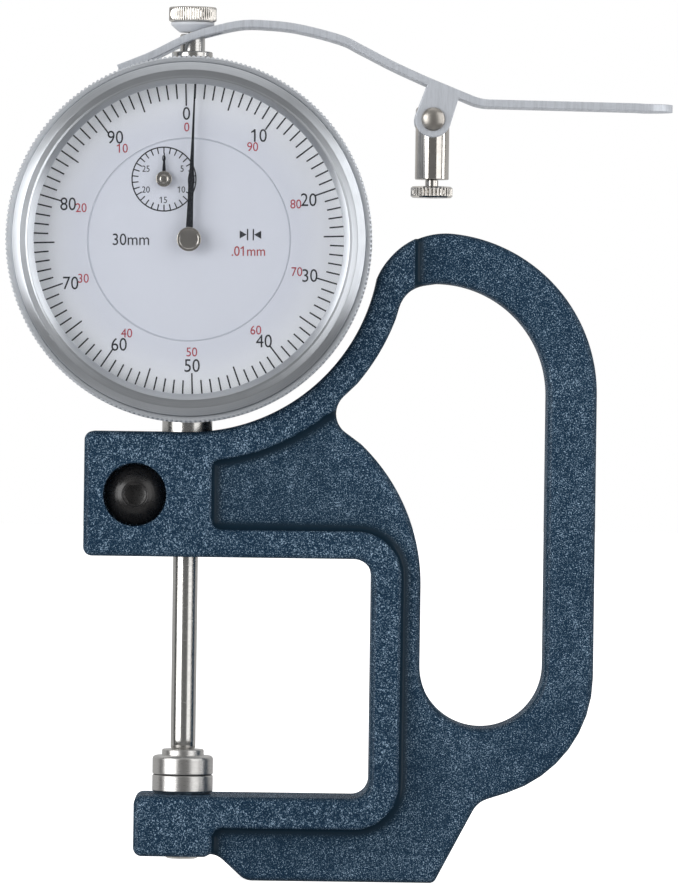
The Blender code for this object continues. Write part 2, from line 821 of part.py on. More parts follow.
def make_back_cover():
    front = -case_back - fit_gap
    back = front - cover_thickness
    edge = bezel_edge
    cover = turned("back_cover",
                   [(0, front), (cover_radius, front), (cover_radius, back + edge),
                    (cover_radius - edge, back), (0, back)],
                   "satin_aluminium", dial_axis, facing="front", sides=dial_sides)
    seat = cover_screw_head_height + fit_gap
    for i, (x, z) in enumerate(cover_screw_places()):
        cut(cover,
            bar("cover_hole_%d" % i, cover_screw_shank + fit_gap, 2 * cover_thickness,
                (x, -(front + back) / 2, dial_z + z), "Y", tiny_sides, gauge_point),
            bar("cover_seat_%d" % i, cover_screw_head + fit_gap, 2 * seat,
                (x, -back, dial_z + z), "Y", small_sides, gauge_point))
    for i, (x, z) in enumerate(cover_screw_places()):
        slotted_screw("back_cover_screw_%d" % (i + 1), back, back + cover_screw_head_height,
                      back + cover_screw_length, cover_screw_head, cover_screw_shank, x, dial_z + z)


# A screw along Y whose slotted head faces the back; the three places are heights in front of the axis
def slotted_screw(name, back, head, tip, head_radius, shank_radius, x, z):
    screw = turned(name,
                   [(0, tip), (shank_radius, tip), (shank_radius, head), (head_radius, head),
                    (head_radius, back), (0, back)],
                   "steel", gauge_point, (x, 0, z), "front", small_sides)
    return cut(screw, block(name + "_slot", (x - 2 * head_radius, -back - slot_depth, z - slot_half),
                            (x + 2 * head_radius, -back + overrun, z + slot_half), gauge_point))


# Bezel: knurled rim, bevelled front, a lip that holds the crystal
def make_bezel():
    case_seat = case_radius + fit_gap
    turned("bezel",
           [(bezel_slope_outer, bezel_slope_height), (bezel_bevel_inner, bezel_front),
            (bezel_bevel_outer, bezel_front - bezel_bevel_height), (bezel_bevel_outer, bezel_groove_height),
            (bezel_radius - bezel_edge, bezel_groove_height - bezel_edge),
            (bezel_radius, bezel_knurl_top - bezel_edge), (bezel_radius, bezel_back + bezel_edge),
            (bezel_radius - bezel_edge, bezel_back), (case_seat, bezel_back),
            (case_seat, dial_back), (bezel_seat_radius, dial_back),
            (bezel_seat_radius, bezel_lip_back), (bezel_window, bezel_lip_back)],
           "satin_aluminium", bezel_axis, facing="front", sides=2 * round_sides)
    front = bezel_lip_back - fit_gap
    turned("crystal",
           [(0, front), (bezel_seat_radius - fit_gap, front),
            (bezel_seat_radius - fit_gap, front - crystal_thickness), (0, front - crystal_thickness)],
           "clear_glass", bezel_axis, facing="front", sides=dial_sides)
    inner = dial_split + fit_gap / 2
    outer = bezel_seat_radius - fit_gap
    turned("dial_ring",
           [(outer, dial_back + dial_thickness), (outer, dial_back), (inner, dial_back),
            (inner, dial_back + dial_thickness)],
           "dial_enamel", bezel_axis, facing="front", sides=dial_sides)


def make_retaining_ring():
    groove_back = floor_front - 2 * ring_groove_width + ring_groove_depth
    outer = case_radius - (ring_groove_depth - fit_gap - ring_thickness)
    back = groove_back + fit_gap
    front = groove_back + ring_groove_width - fit_gap
    turned("bezel_retaining_ring",
           [(outer, front), (outer, back), (outer - ring_thickness, back), (outer - ring_thickness, front)],
           "steel", dial_axis, facing="front", sides=dial_sides)


def make_dial_centre():
    outer = dial_split - fit_gap / 2
    half = dial_thickness / 2
    flat_piece("dial_center",
               [circle(0, 0, outer, dial_sides), circle(0, 0, dial_bore, small_sides),
                circle(-counter_x, counter_rise, shaft_radius + fit_gap, tiny_sides)],
               half, "dial_enamel", dial_axis, (0, -dial_back - half, 0))


# Main hand: a slim pointer with a small swelling, pressed on the centre shaft under a nickel hub
def make_main_hand():
    half = hand_thickness / 2
    right = [(hand_half, 0), (hand_half, hand_hub_radius), (hand_bulge_half, hand_bulge_reach),
             (hand_neck_half, hand_neck_reach), (hand_tip_half, hand_reach)]
    left = [(-x, z) for x, z in reversed(right)]
    ring = arc(0, 0, hand_hub_radius, pi * 0.9, pi * 2.1)
    hand = flat_piece("main_hand", [right[1:] + left[:-1] + ring, circle(0, 0, shaft_radius + fit_gap, tiny_sides)],
                      half, "black_lacquer", hand_axis, (0, -hand_back - half, 0))
    hand.rotation_euler = (pi / 2, hand_lean, 0)
    back = hand_back + hand_thickness + fit_gap
    turned("hand_hub",
           [(0, hand_hub_front + fit_gap), (hand_hub_radius - hand_thickness, hand_hub_front + fit_gap),
            (hand_hub_radius, hand_hub_front), (hand_hub_radius, back), (0, back)],
           "nickel", hand_axis, facing="front", sides=small_sides)


def make_centre_shaft():
    root = drive_distance * centre_pinion_teeth / (drive_gear_teeth + centre_pinion_teeth)
    shaft = turned("center_shaft",
                   [(0, hand_back + hand_thickness), (shaft_radius, hand_back + hand_thickness),
                    (shaft_radius, centre_pinion_back + centre_pinion_length - fit_gap),
                    (centre_pivot, centre_pinion_back + centre_pinion_length - fit_gap),
                    (centre_pivot, middle_plate_back), (0, middle_plate_back)],
                   "steel", hand_axis, facing="front", sides=small_sides)
    pinion = gear("center_pinion", root - tooth_gap / 2, centre_pinion_teeth, centre_pinion_back,
                  centre_pinion_length, hand_axis, pinion_tooth_height)
    join(shaft, pinion)


# Drive shaft: the pinion on the rack and the large gear that turns the centre pinion
def make_drive_shaft():
    shaft = turned("drive_shaft",
                   [(0, front_plate_front), (pivot_radius, front_plate_front),
                    (pivot_radius, -bridge_back - bridge_thickness), (0, -bridge_back - bridge_thickness)],
                   "steel", drive_axis, facing="front", sides=small_sides)
    join(shaft,
         gear("rack_pinion", pinion_radius, pinion_teeth, -pinion_half, 2 * pinion_half, drive_axis),
         gear("large_gear", large_gear_radius() - tooth_gap / 2, drive_gear_teeth, drive_gear_back,
              gear_thickness, drive_axis))
    close_seams(shaft)


def large_gear_radius():
    return drive_distance * drive_gear_teeth / (drive_gear_teeth + centre_pinion_teeth)


def make_counter():
    root = counter_distance * counter_gear_teeth / (counter_pinion_teeth + counter_gear_teeth)
    front = counter_hand_back + counter_hand_thickness
    shaft = turned("counter_gear",
                   [(0, front), (pivot_radius, front), (pivot_radius, front_plate_back), (0, front_plate_back)],
                   "steel", counter_axis, facing="front", sides=small_sides)
    join(shaft, gear("counter_wheel", root - tooth_gap / 2, counter_gear_teeth, counter_gear_back,
                     counter_gear_thickness, counter_axis))
    half = counter_hand_thickness / 2
    ring = arc(0, 0, counter_hub_radius, pi * 0.9, pi * 2.1)
    flat_piece("counter_hand",
               [[(counter_hand_half, counter_hub_radius), (hand_tip_half, counter_hand_reach),
                 (-hand_tip_half, counter_hand_reach), (-counter_hand_half, counter_hub_radius)] + ring,
                circle(0, 0, pivot_radius + fit_gap, tiny_sides)],
               half, "black_lacquer", counter_axis, (0, -counter_hand_back - half, 0))
    turned("counter_hub",
           [(0, counter_hub_front + fit_gap), (counter_hub_radius, counter_hub_front + fit_gap),
            (counter_hub_radius, front + fit_gap / 2), (0, front + fit_gap / 2)],
           "nickel", counter_axis, facing="front", sides=small_sides)


# Take-up gear: as large as the drive gear, it keeps the train tight through its flat spiral spring
# and turns the counter through the small pinion at its front end
def make_take_up():
    end = floor_back - fit_gap
    shaft = turned("take_up_gear",
                   [(0, end), (pivot_radius, end), (pivot_radius, middle_plate_back), (0, middle_plate_back)],
                   "steel", take_up_axis, facing="front", sides=small_sides)
    small = counter_distance * counter_pinion_teeth / (counter_pinion_teeth + counter_gear_teeth)
    join(shaft,
         gear("take_up_wheel", large_gear_radius() - tooth_gap / 2, drive_gear_teeth, take_up_back,
              gear_thickness, take_up_axis),
         gear("counter_pinion", small - tooth_gap / 2, counter_pinion_teeth, counter_gear_back,
              counter_gear_thickness, take_up_axis))
    close_seams(shaft)
    count = hairspring_turns * hairspring_points_a_turn
    height = (take_up_back + gear_thickness + front_plate_back) / 2
    points = []
    for i in range(count + 1):
        turn = 2 * pi * hairspring_turns * i / count
        radius = hairspring_inner + hairspring_pitch * turn / (2 * pi)
        points.append((radius * cos(turn), radius * sin(turn), height))
    wire_piece("hairspring", points, hairspring_wire, "steel", take_up_axis, facing="front", resolution=0)
    print("hairspring: least gap to itself %.2f mm" % ((hairspring_pitch - 2 * hairspring_wire) * 1000))


def make_plates():
    half = plate_thickness / 2
    screws = [circle(pillar_circle * cos(a), pillar_circle * sin(a), movement_screw_radius + fit_gap, tiny_sides)
              for a in pillar_angles]
    hole = pivot_radius + fit_gap
    drive_hole = circle(drive_x, drive_rise, hole, tiny_sides)
    take_up_hole = circle(take_up_x, take_up_z - dial_z, hole, tiny_sides)
    edge = circle(0, 0, plate_radius, dial_sides)
    flat_piece("middle_plate", [edge, circle(0, 0, centre_pivot + fit_gap, tiny_sides), drive_hole, take_up_hole]
               + screws, half, "brass", dial_axis, (0, -middle_plate_back - half, 0))
    flat_piece("front_plate",
               [edge, circle(0, 0, shaft_radius + fit_gap, tiny_sides), drive_hole, take_up_hole,
                circle(-counter_x, counter_rise, hole, tiny_sides)] + screws,
               half, "brass", dial_axis, (0, -front_plate_back - half, 0))
    bore = movement_screw_radius + fit_gap
    for i, angle in enumerate(pillar_angles):
        x, z = pillar_circle * cos(angle), dial_z + pillar_circle * sin(angle)
        for j, (low, high) in enumerate(((middle_plate_front, front_plate_back), (front_plate_front, floor_back))):
            turned(("rear_pillar_%d", "front_pillar_%d")[j] % (i + 1),
                   [(pillar_radius, high - fit_gap), (pillar_radius, low + fit_gap),
                    (bore, low + fit_gap), (bore, high - fit_gap)],
                   "brass", gauge_point, (x, 0, z), "front", small_sides)
        head = middle_plate_back - fit_gap
        slotted_screw("movement_screw_%d" % (i + 1), head - movement_screw_head_height, head,
                      floor_front, movement_screw_head, movement_screw_radius, x, z)


# Rear bridge: carries the back pivot of the drive shaft on two legs
def make_rear_bridge():
    half = bridge_thickness / 2
    bridge = flat_piece("rear_bridge",
                        [[(-bridge_outer, drive_rise - bridge_half), (-bridge_inner, drive_rise - bridge_half),
                          (-bridge_inner, drive_rise + bridge_half), (-bridge_outer, drive_rise + bridge_half)],
                         circle(drive_x, drive_rise, pivot_radius + fit_gap, tiny_sides)],
                        half, "brass", dial_axis, (0, bridge_back + half, 0))
    front = -middle_plate_back + fit_gap
    back = bridge_back + half
    for i, side in enumerate((-1, 1)):
        join(bridge, bar("bridge_leg_%d" % i, bridge_leg_radius, back - front,
                         (-bridge_leg_x, (back + front) / 2, drive_z + side * bridge_leg_rise), "Y",
                         small_sides, gauge_point))


# Guide: a pin in the spindle runs in a slotted rail on the back cover and carries the spring's arm
def make_guide():
    pin = turned("guide_pin",
                 [(0, -guide_pin_start), (guide_pin_radius, -guide_pin_start),
                  (guide_pin_radius, -rail_back + fit_gap), (guide_roller_radius, -rail_back + fit_gap),
                  (guide_roller_radius, -guide_pin_end), (0, -guide_pin_end)],
                 "steel", spindle_axis, (0, 0, guide_pin_z), "front", small_sides)
    half = arm_thickness / 2
    arm_end = spring_x + spring_radius
    arm = flat_piece("spring_arm",
                     [[(0, -arm_half), (arm_end, -arm_half), (arm_end, arm_half), (0, arm_half)]],
                     half, "steel", spindle_axis, (0, arm_back + half, guide_pin_z))
    join(pin, arm)
    half = rail_thickness / 2
    flat_piece("guide_rail",
               [[(-rail_half, rail_foot), (rail_half, rail_foot), (rail_half, rail_head), (-rail_half, rail_head)],
                [(-rail_slot_half, slot_foot), (rail_slot_half, slot_foot), (rail_slot_half, slot_head),
                 (-rail_slot_half, slot_head)]],
               half, "steel", gauge_point, (0, rail_back + half, 0))


# Return spring: pulls the spindle down between a peg in the case and the arm on the guide pin
def make_return_spring():
    foot = peg_head + fit_gap + spring_wire
    head = guide_pin_z - arm_half - fit_gap - spring_wire
    count = spring_turns * spring_points_a_turn
    points = []
    for i in range(count + 1):
        turn = 2 * pi * spring_turns * i / count
        points.append((spring_radius * cos(turn), spring_radius * sin(turn), foot + (head - foot) * i / count))
    y = arm_back + arm_thickness / 2
    wire_piece("return_spring", points, spring_wire, "steel", gauge_point, (spring_x, y, 0), resolution=0)
    print("return spring: least gap to itself %.2f mm" % (((head - foot) / spring_turns - 2 * spring_wire) * 1000))
    turned("spring_peg", [(0, peg_head), (peg_radius, peg_head), (peg_radius, peg_foot), (0, peg_foot)],
           "steel", gauge_point, (spring_x, y, 0), sides=small_sides)


# Spindle: a rod with a rack cut in its left side, a blind hole at each end and one for the guide pin
def make_spindle():
    rod = turned("spindle",
                 [(0, spindle_top), (spindle_radius, spindle_top), (spindle_radius, spindle_foot),
                  (0, spindle_foot)],
                 "steel", spindle_axis, sides=small_sides)
    comb = []
    rack_head = rack_foot + rack_pitch * rack_tooth_count
    for i in range(rack_tooth_count):
        z = rack_foot + rack_pitch * i
        comb += [(-rack_flat, z), (rack_tooth_height - rack_flat, z + rack_pitch / 2)]
    edge = -spindle_radius - overrun
    comb += [(-rack_flat, rack_head), (edge, rack_head), (edge, rack_foot)]
    cutter = flat_piece("rack_comb", [comb], spindle_radius + overrun, "steel", spindle_axis)
    hole = stud_radius + fit_gap
    knob_hole = spindle_top - knob_stud_foot + fit_gap
    cut(rod, as_cutter(cutter),
        bar("contact_hole", hole, 2 * stud_length, (0, 0, spindle_foot), "Z", tiny_sides, spindle_axis),
        bar("knob_hole", knob_stud_radius + fit_gap, 2 * knob_hole, (0, 0, spindle_top), "Z", tiny_sides,
            spindle_axis),
        bar("guide_hole", guide_pin_radius + fit_gap, 2 * spindle_radius,
            (0, guide_pin_start - fit_gap + spindle_radius, guide_pin_z), "Y", tiny_sides, spindle_axis))
    close_seams(rod)


def make_contact_point():
    foot = fit_gap
    top = foot + contact_thickness - fit_gap
    collar = top + collar_height
    end = spindle_foot + stud_length - 2 * fit_gap
    turned("contact_point",
           [(0, end), (stud_radius, end), (stud_radius, collar), (collar_radius, collar),
            (collar_radius, top), (contact_radius - contact_chamfer, top),
            (contact_radius, top - contact_chamfer), (contact_radius, foot), (0, foot)],
           "steel", spindle_axis)


def make_knob():
    bore = knob_stud_radius + fit_gap
    turned("knob_bowl",
           [(bore, bowl_head), (bowl_radius, bowl_head), (bowl_radius, bowl_head - bowl_rim),
            (bowl_neck, bowl_foot), (bore, bowl_foot)],
           "pale_plastic", spindle_axis, sides=small_sides * 2)
    turned("lift_knob",
           [(0, knob_top), (knob_radius - knob_edge, knob_top), (knob_radius, knob_top - knob_edge),
            (knob_radius, knob_foot + knob_edge), (knob_radius - knob_edge, knob_foot),
            (knob_stud_radius, knob_foot), (knob_stud_radius, knob_stud_foot), (0, knob_stud_foot)],
           "nickel", spindle_axis, sides=small_sides * 2)


# Lever: a bent strip seen from the front, forked over the spindle, with two ears for its rivet.
# The middle line goes from the fork's tips over the crown to the bend, then along the tongue.
def lever_line():
    span = tongue_bend_x + lever_tip_x
    rise = lever_crown_z - lever_tip_z
    line = [(along * span - lever_tip_x, lever_tip_z + up * rise) for along, up in lever_line_shares]
    return line + [(tongue_bend_x, tongue_z), (tongue_end, tongue_z)]


def offset_line(line, distance):
    result = []
    for i, point in enumerate(line):
        before = Vector(line[max(i - 1, 0)])
        after = Vector(line[min(i + 1, len(line) - 1)])
        along = (after - before).normalized()
        result.append((point[0] - along.y * distance, point[1] + along.x * distance))
    return result


def make_lever():
    line = lever_line()
    local = [(x - pivot_x, z - pivot_z) for x, z in line]
    half = sheet / 2
    loop = offset_line(local, half) + list(reversed(offset_line(local, -half)))
    lever = flat_piece("lever", [loop], lever_half_width, "zinc", lever_axis)
    slot_low = (-lever_tip_x - pivot_x - overrun, -fork_slot_half, 0)
    slot_high = (fork_slot_end - pivot_x, fork_slot_half, lever_crown_z - pivot_z + 2 * sheet)
    cut(lever, block("fork_slot", slot_low, slot_high, lever_axis))
    ear_top = sheet_height(0, local)
    for i, side in enumerate((-1, 1)):
        ear = [(ear_radius, ear_top)] + arc(0, 0, ear_radius, 0, -pi, arc_step * 2) + [(-ear_radius, ear_top)]
        ear = flat_piece("lever_ear_%d" % i, [ear], half, "zinc", lever_axis,
                         (0, side * (lever_half_width - half), 0))
        join(lever, ear)
    cut(lever, bar("rivet_hole", rivet_radius + fit_gap, 4 * lever_half_width, (0, 0, 0), "Y", small_sides,
                   lever_axis))
    end = lever_half_width + fit_gap
    dome = end + rivet_dome_height
    flat = rivet_dome_radius * 0.6
    turned("lever_rivet",
           [(0, dome), (flat, dome), (rivet_dome_radius, end), (rivet_radius, end), (rivet_radius, -end),
            (rivet_dome_radius, -end), (flat, -dome), (0, -dome)],
           "nickel", lever_axis, facing="front", sides=small_sides)


# Height of the lever's strip above the pivot at a distance x from it
def sheet_height(x, line):
    for (x1, z1), (x2, z2) in zip(line, line[1:]):
        if x1 <= x <= x2:
            return z1 + (z2 - z1) * (x - x1) / (x2 - x1)
    return line[-1][1]


# Post: hangs between the ears on the rivet, its thinner stud ends in the thumb screw
def make_post():
    top = pivot_z + post_head_rise
    post = turned("lever_post",
                  [(0, top), (post_radius - contact_chamfer, top), (post_radius, top - contact_chamfer),
                   (post_radius, post_foot), (post_stud_radius, post_foot),
                   (post_stud_radius, thumb_foot + fit_gap), (0, thumb_foot + fit_gap)],
                  "nickel", post_axis, sides=small_sides * 2)
    cut(post, bar("post_hole", rivet_radius + fit_gap, 4 * post_radius, (0, 0, pivot_z), "Y", small_sides,
                  post_axis))
    loop = []
    for i in range(2 * thumb_lobes):
        radius = thumb_radius - (i % 2) * thumb_lobe_depth
        loop.append((radius * cos(pi * i / thumb_lobes), radius * sin(pi * i / thumb_lobes)))
    half = (thumb_head - thumb_foot) / 2
    thumb = flat_piece("thumb_screw", [loop], half, "nickel", post_axis, (0, 0, thumb_foot + half), "up")
    collar_length = thumb_collar_height + half
    join(thumb, bar("thumb_collar", thumb_collar_radius, collar_length * 2 - thumb_collar_height,
                    (0, 0, thumb_foot + half), "Z", small_sides, post_axis))
    hole_length = thumb_head - thumb_foot + thumb_collar_height + overrun
    cut(thumb, bar("thumb_bore", post_stud_radius + fit_gap / 2, hole_length,
                   (0, 0, thumb_foot + hole_length / 2), "Z", small_sides, post_axis))
    close_seams(thumb)


make_frame()
make_clamp_screw()
make_anvil()
make_case()
make_stem()
make_upper_bush()
make_back_cover()
make_bezel()
make_retaining_ring()
make_dial_centre()
make_main_hand()
make_centre_shaft()
make_drive_shaft()
make_counter()
make_take_up()
make_plates()
make_rear_bridge()
make_guide()
make_return_spring()
make_spindle()
make_contact_point()
make_knob()
make_lever()
make_post()
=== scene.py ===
import json
from itertools import product
from math import acos, asin, atan2, ceil, cos, hypot, pi, radians, sin, sqrt, tan
import bpy
import bmesh
import numpy as np
from mathutils import Matrix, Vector
from mathutils.geometry import delaunay_2d_cdt


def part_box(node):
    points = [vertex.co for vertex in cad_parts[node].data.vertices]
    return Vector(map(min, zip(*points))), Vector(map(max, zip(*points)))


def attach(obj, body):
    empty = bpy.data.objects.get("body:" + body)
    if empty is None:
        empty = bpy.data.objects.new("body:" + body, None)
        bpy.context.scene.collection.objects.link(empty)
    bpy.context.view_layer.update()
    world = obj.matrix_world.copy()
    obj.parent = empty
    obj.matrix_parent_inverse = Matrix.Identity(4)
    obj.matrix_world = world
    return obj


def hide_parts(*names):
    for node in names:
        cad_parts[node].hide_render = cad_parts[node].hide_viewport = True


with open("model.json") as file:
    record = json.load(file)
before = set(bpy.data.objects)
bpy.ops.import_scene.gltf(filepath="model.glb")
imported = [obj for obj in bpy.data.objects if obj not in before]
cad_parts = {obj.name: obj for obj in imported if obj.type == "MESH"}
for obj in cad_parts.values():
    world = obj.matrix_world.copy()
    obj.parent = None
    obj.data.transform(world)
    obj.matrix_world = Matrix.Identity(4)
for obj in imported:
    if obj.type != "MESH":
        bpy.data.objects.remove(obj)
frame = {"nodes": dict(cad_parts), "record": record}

scene = bpy.context.scene
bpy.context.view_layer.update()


# Middle of a solid's box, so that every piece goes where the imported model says
def middleOf(node):
    low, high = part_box(node)
    return (np.array(low) + np.array(high)) / 2


# The gauge point is where the spindle's axis meets the anvil's face. Places are in metres, as the scene is,
# and the settings of the pieces in millimetres from the gauge point or from the axis that the piece is on
gaugePoint = np.array([middleOf("anvil")[0], 0.0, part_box("anvil")[1].z])
dialCentre = np.array([gaugePoint[0], 0.0, middleOf("bezel")[2]])
counterCentre = middleOf("counter_hub") * (1, 0, 1)
clampAxis = gaugePoint + (-0.0081, 0, 0.0447)
print("frame read, gauge point at", gaugePoint.round(5))


# Unit vectors along the last axis
def unit(vectors):
    return vectors / np.maximum(np.linalg.norm(vectors, axis=-1, keepdims=True), 1e-12)


# Points of an arc of the circle (x, z, radius): centre plus radius times cosine and sine of even angles
def arcPoints(circle, start, end, spacing=0.7):
    x, z, radius = circle
    count = max(3, ceil(abs(end - start) * radius / spacing))
    angle = np.linspace(start, end, count + 1)
    return np.stack([x + radius * np.cos(angle), z + radius * np.sin(angle)], -1).tolist()


# Angle of a point as seen from a circle's centre
def angleTo(circle, point):
    return atan2(point[1] - circle[1], point[0] - circle[0])


# Where two circles cross, to the left of the line from the first centre to the second
def crossing(first, second):
    (x1, z1, r1), (x2, z2, r2) = first, second
    span = hypot(x2 - x1, z2 - z1)
    along = (r1 ** 2 - r2 ** 2 + span ** 2) / (2 * span)
    off = sqrt(r1 ** 2 - along ** 2)
    ux, uz = (x2 - x1) / span, (z2 - z1) / span
    return x1 + along * ux - off * uz, z1 + along * uz + off * ux


# A corner (a, b, radius) becomes an arc of that radius that touches both of its sides
def softCorners(stations, closed=False, turnStep=0.16):
    pieces = []
    count = len(stations)
    for i, station in enumerate(stations):
        corner = np.array(station[:2], float)
        if len(station) == 2 or (not closed and i in (0, count - 1)):
            pieces.append(corner[None])
            continue
        before = unit(np.array(stations[i - 1][:2], float) - corner)
        after = unit(np.array(stations[(i + 1) % count][:2], float) - corner)
        half = acos(float(np.clip(before @ after, -1, 1))) / 2
        hub = corner + unit(before + after) * station[2] / sin(half)
        first = corner + before * station[2] / tan(half) - hub
        last = corner + after * station[2] / tan(half) - hub
        turn = atan2(first[0] * last[1] - first[1] * last[0], float(first @ last))
        steps = max(3, ceil(abs(turn) / turnStep))
        angle = atan2(first[1], first[0]) + turn * np.linspace(0, 1, steps + 1)
        pieces.append(hub + station[2] * np.stack([np.cos(angle), np.sin(angle)], -1))
    return np.concatenate(pieces)


# A profile that closes on itself, with soft corners, as turned rings have
def ringProfile(stations, turnStep=0.16):
    loop = softCorners(stations, True, turnStep)
    return np.vstack([loop, loop[:1]])


# Extra points on long straight runs, so that no side is longer than the spacing
def evenLine(points, spacing, closed=True):
    ends = np.roll(points, -1, 0) if closed else points[1:]
    starts = points if closed else points[:-1]
    counts = np.maximum(1, np.ceil(np.linalg.norm(ends - starts, axis=1) / spacing)).astype(int)
    index = np.repeat(np.arange(len(starts)), counts)
    step = (np.arange(len(index)) - np.repeat(np.cumsum(counts) - counts, counts)) / counts[index]
    line = starts[index] + (ends - starts)[index] * step[:, None]
    return line if closed else np.vstack([line, points[-1:]])


# A line moved sideways, to its left: each point goes along the mean of its two sides' normals
def offsetLine(points, distance, closed=True):
    if closed:
        along = unit(np.roll(points, -1, 0) - points)
        earlier = np.roll(along, 1, 0)
    else:
        sides = unit(points[1:] - points[:-1])
        along = np.vstack([sides, sides[-1:]])
        earlier = np.vstack([sides[:1], sides])
    normal = np.stack([-(along + earlier)[:, 1], (along + earlier)[:, 0]], -1) / 2
    return points + distance * normal / np.maximum((normal ** 2).sum(-1, keepdims=True), 0.25)


# Twice the area inside a loop, positive where it runs counterclockwise
def areaOf(loop):
    return (loop[:, 0] * np.roll(loop[:, 1], -1) - np.roll(loop[:, 0], -1) * loop[:, 1]).sum()


# Least distance from each point to the sides of a line
def distanceTo(points, line, closed=True):
    ends = np.roll(line, -1, 0) if closed else line[1:]
    starts = line if closed else line[:-1]
    span = ends - starts
    least = []
    for block in np.array_split(points, max(1, len(points) // 2000)):
        away = block[:, None] - starts
        share = np.clip((away * span).sum(-1) / np.maximum((span ** 2).sum(-1), 1e-10), 0, 1)
        least.append(np.linalg.norm(away - share[..., None] * span, axis=-1).min(1))
    return np.concatenate(least)


# A point is inside a loop when a ray to the right crosses the loop an odd number of times
def insideOf(points, loop):
    ends = np.roll(loop, -1, 0)
    x, z = points[:, :1], points[:, 1:]
    crosses = (loop[:, 1] > z) != (ends[:, 1] > z)
    rise = np.where(ends[:, 1] == loop[:, 1], 1e-12, ends[:, 1] - loop[:, 1])
    at = loop[:, 0] + (z - loop[:, 1]) * (ends[:, 0] - loop[:, 0]) / rise
    return (crosses & (x < at)).sum(1) % 2 == 1


# Four-sided faces between a grid's rows and columns, of which the last column meets the first
def gridFaces(rows, columns):
    row, column = np.meshgrid(np.arange(rows - 1), np.arange(columns), indexing="ij")
    after = (column + 1) % columns
    quads = [row * columns + column, row * columns + after,
             (row + 1) * columns + after, (row + 1) * columns + column]
    return np.stack(quads, -1).reshape(-1, 4).tolist()


# The same, with one face over each open end
def cappedFaces(rows, columns):
    last = columns * (rows - 1)
    return gridFaces(rows, columns) + [list(range(columns))[::-1], list(range(last, last + columns))]


# Faces of a prism: its first points are one end and the same number of points after them the other
def prismFaces(corners):
    ring = list(range(corners))
    sides = [[i, i + corners, (i + 1) % corners + corners, (i + 1) % corners] for i in ring]
    return [ring, [i + corners for i in ring[::-1]]] + sides


# Object in the scene that holds a mesh, a light or the like
def newObject(name, data):
    thing = bpy.data.objects.new(name, data)
    scene.collection.objects.link(thing)
    return thing


# Mesh of an object after its modifiers
def finalMesh(thing):
    bpy.context.view_layer.update()
    return bpy.data.meshes.new_from_object(thing.evaluated_get(bpy.context.evaluated_depsgraph_get()))


# Mesh from points in millimetres about a centre that is in metres, as the scene is
def newMesh(name, points, faces, centre):
    mesh = bpy.data.meshes.new(name)
    points = np.asarray(points, float).reshape(-1, 3) / 1000 + centre
    mesh.from_pydata(points.tolist(), [], [list(map(int, face)) for face in faces])
    mesh.update()
    return mesh


def pointsOf(mesh):
    return np.array([v.co for v in mesh.vertices])


# Doubles merged, poles closed, faces turned outwards, smooth but for edges sharper than the angle
def tidyMesh(mesh, sharp=38, outwards=True):
    work = bmesh.new()
    work.from_mesh(mesh)
    bmesh.ops.remove_doubles(work, verts=work.verts, dist=1e-7)
    bmesh.ops.dissolve_degenerate(work, dist=1e-8, edges=work.edges)
    if outwards:
        bmesh.ops.recalc_face_normals(work, faces=work.faces)
    work.to_mesh(mesh)
    work.free()
    mesh.shade_smooth()
    mesh.set_sharp_from_angle(angle=radians(sharp))
    mesh.update()
    return mesh


# A finished piece: the body it moves with, its slot and the solids it stands for. Its look is the slot's
# finish if no other is given
def addPiece(name, mesh, body, slot, *nodes, look=None, weighted=True):
    piece = newObject(name, mesh)
    mesh.materials.clear()
    mesh.materials.append(look or finishes[slot])
    if weighted:
        smooth = piece.modifiers.new("weightedNormals", "WEIGHTED_NORMAL")
        smooth.mode = "FACE_AREA"
        smooth.weight = 60
        smooth.keep_sharp = True
    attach(piece, body)
    if nodes:
        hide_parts(*nodes)
    return piece


# Turned surface: the radius of the profile at each angle, its height along the axis. A ripple takes
# something off the radius as a function of radius, height and angle. "up" turns about Z, "front" about Y
def turnedSurface(profile, columns, facing="front", ripple=None):
    profile = np.asarray(profile, float)
    angle = (np.arange(columns) * 2 * pi / columns)[None]
    radius, height = profile[:, :1] + 0 * angle, profile[:, 1:] + 0 * angle
    if ripple:
        radius = radius - ripple(radius, height, angle)
    across, along = radius * np.cos(angle), radius * np.sin(angle)
    axes = (across, along, height) if facing == "up" else (across, -height, along)
    return np.stack(axes, -1).reshape(-1, 3), gridFaces(len(profile), columns)


# A closed turned body that is cut out of another
def cutterMesh(stations, columns, centre, facing="front"):
    return tidyMesh(newMesh("cutter", *turnedSurface(stations, columns, facing), centre))


def cylinder(radius, low, high):
    return [(0, low), (radius, low), (radius, high), (0, high)]


# Rounding at a flat piece's edge: insets and drops along a quarter of a circle, from the wall to the face
def edgeSteps(radius, steps=4):
    angle = np.linspace(0, pi / 2, steps + 1)
    return radius * (1 - np.cos(angle)), radius * (1 - np.sin(angle))


# Flat piece: an outline between two heights, its edges rounded by rings that move inwards as they rise
def flatMesh(name, outline, low, high, rounding, place, centre):
    outline = outline if areaOf(outline) > 0 else outline[::-1]
    inset, drop = edgeSteps(rounding)
    rings = [*zip(inset[::-1], low + drop[::-1]), *zip(inset, high - drop)]
    layers = [np.column_stack([offsetLine(outline, d), np.full(len(outline), h)]) for d, h in rings]
    return newMesh(name, place(np.concatenate(layers)), cappedFaces(len(layers), len(outline)), centre)


# Cuts or joins whole meshes and returns the new mesh
def combined(mesh, others, operation="DIFFERENCE"):
    base, tools = newObject("base", mesh), [newObject("tool", other) for other in others]
    for tool in tools:
        step = base.modifiers.new("step", "BOOLEAN")
        step.operation, step.object, step.solver = operation, tool, "EXACT"
    result = finalMesh(base)
    for item in tools + [base]:
        bpy.data.objects.remove(item)
    return result


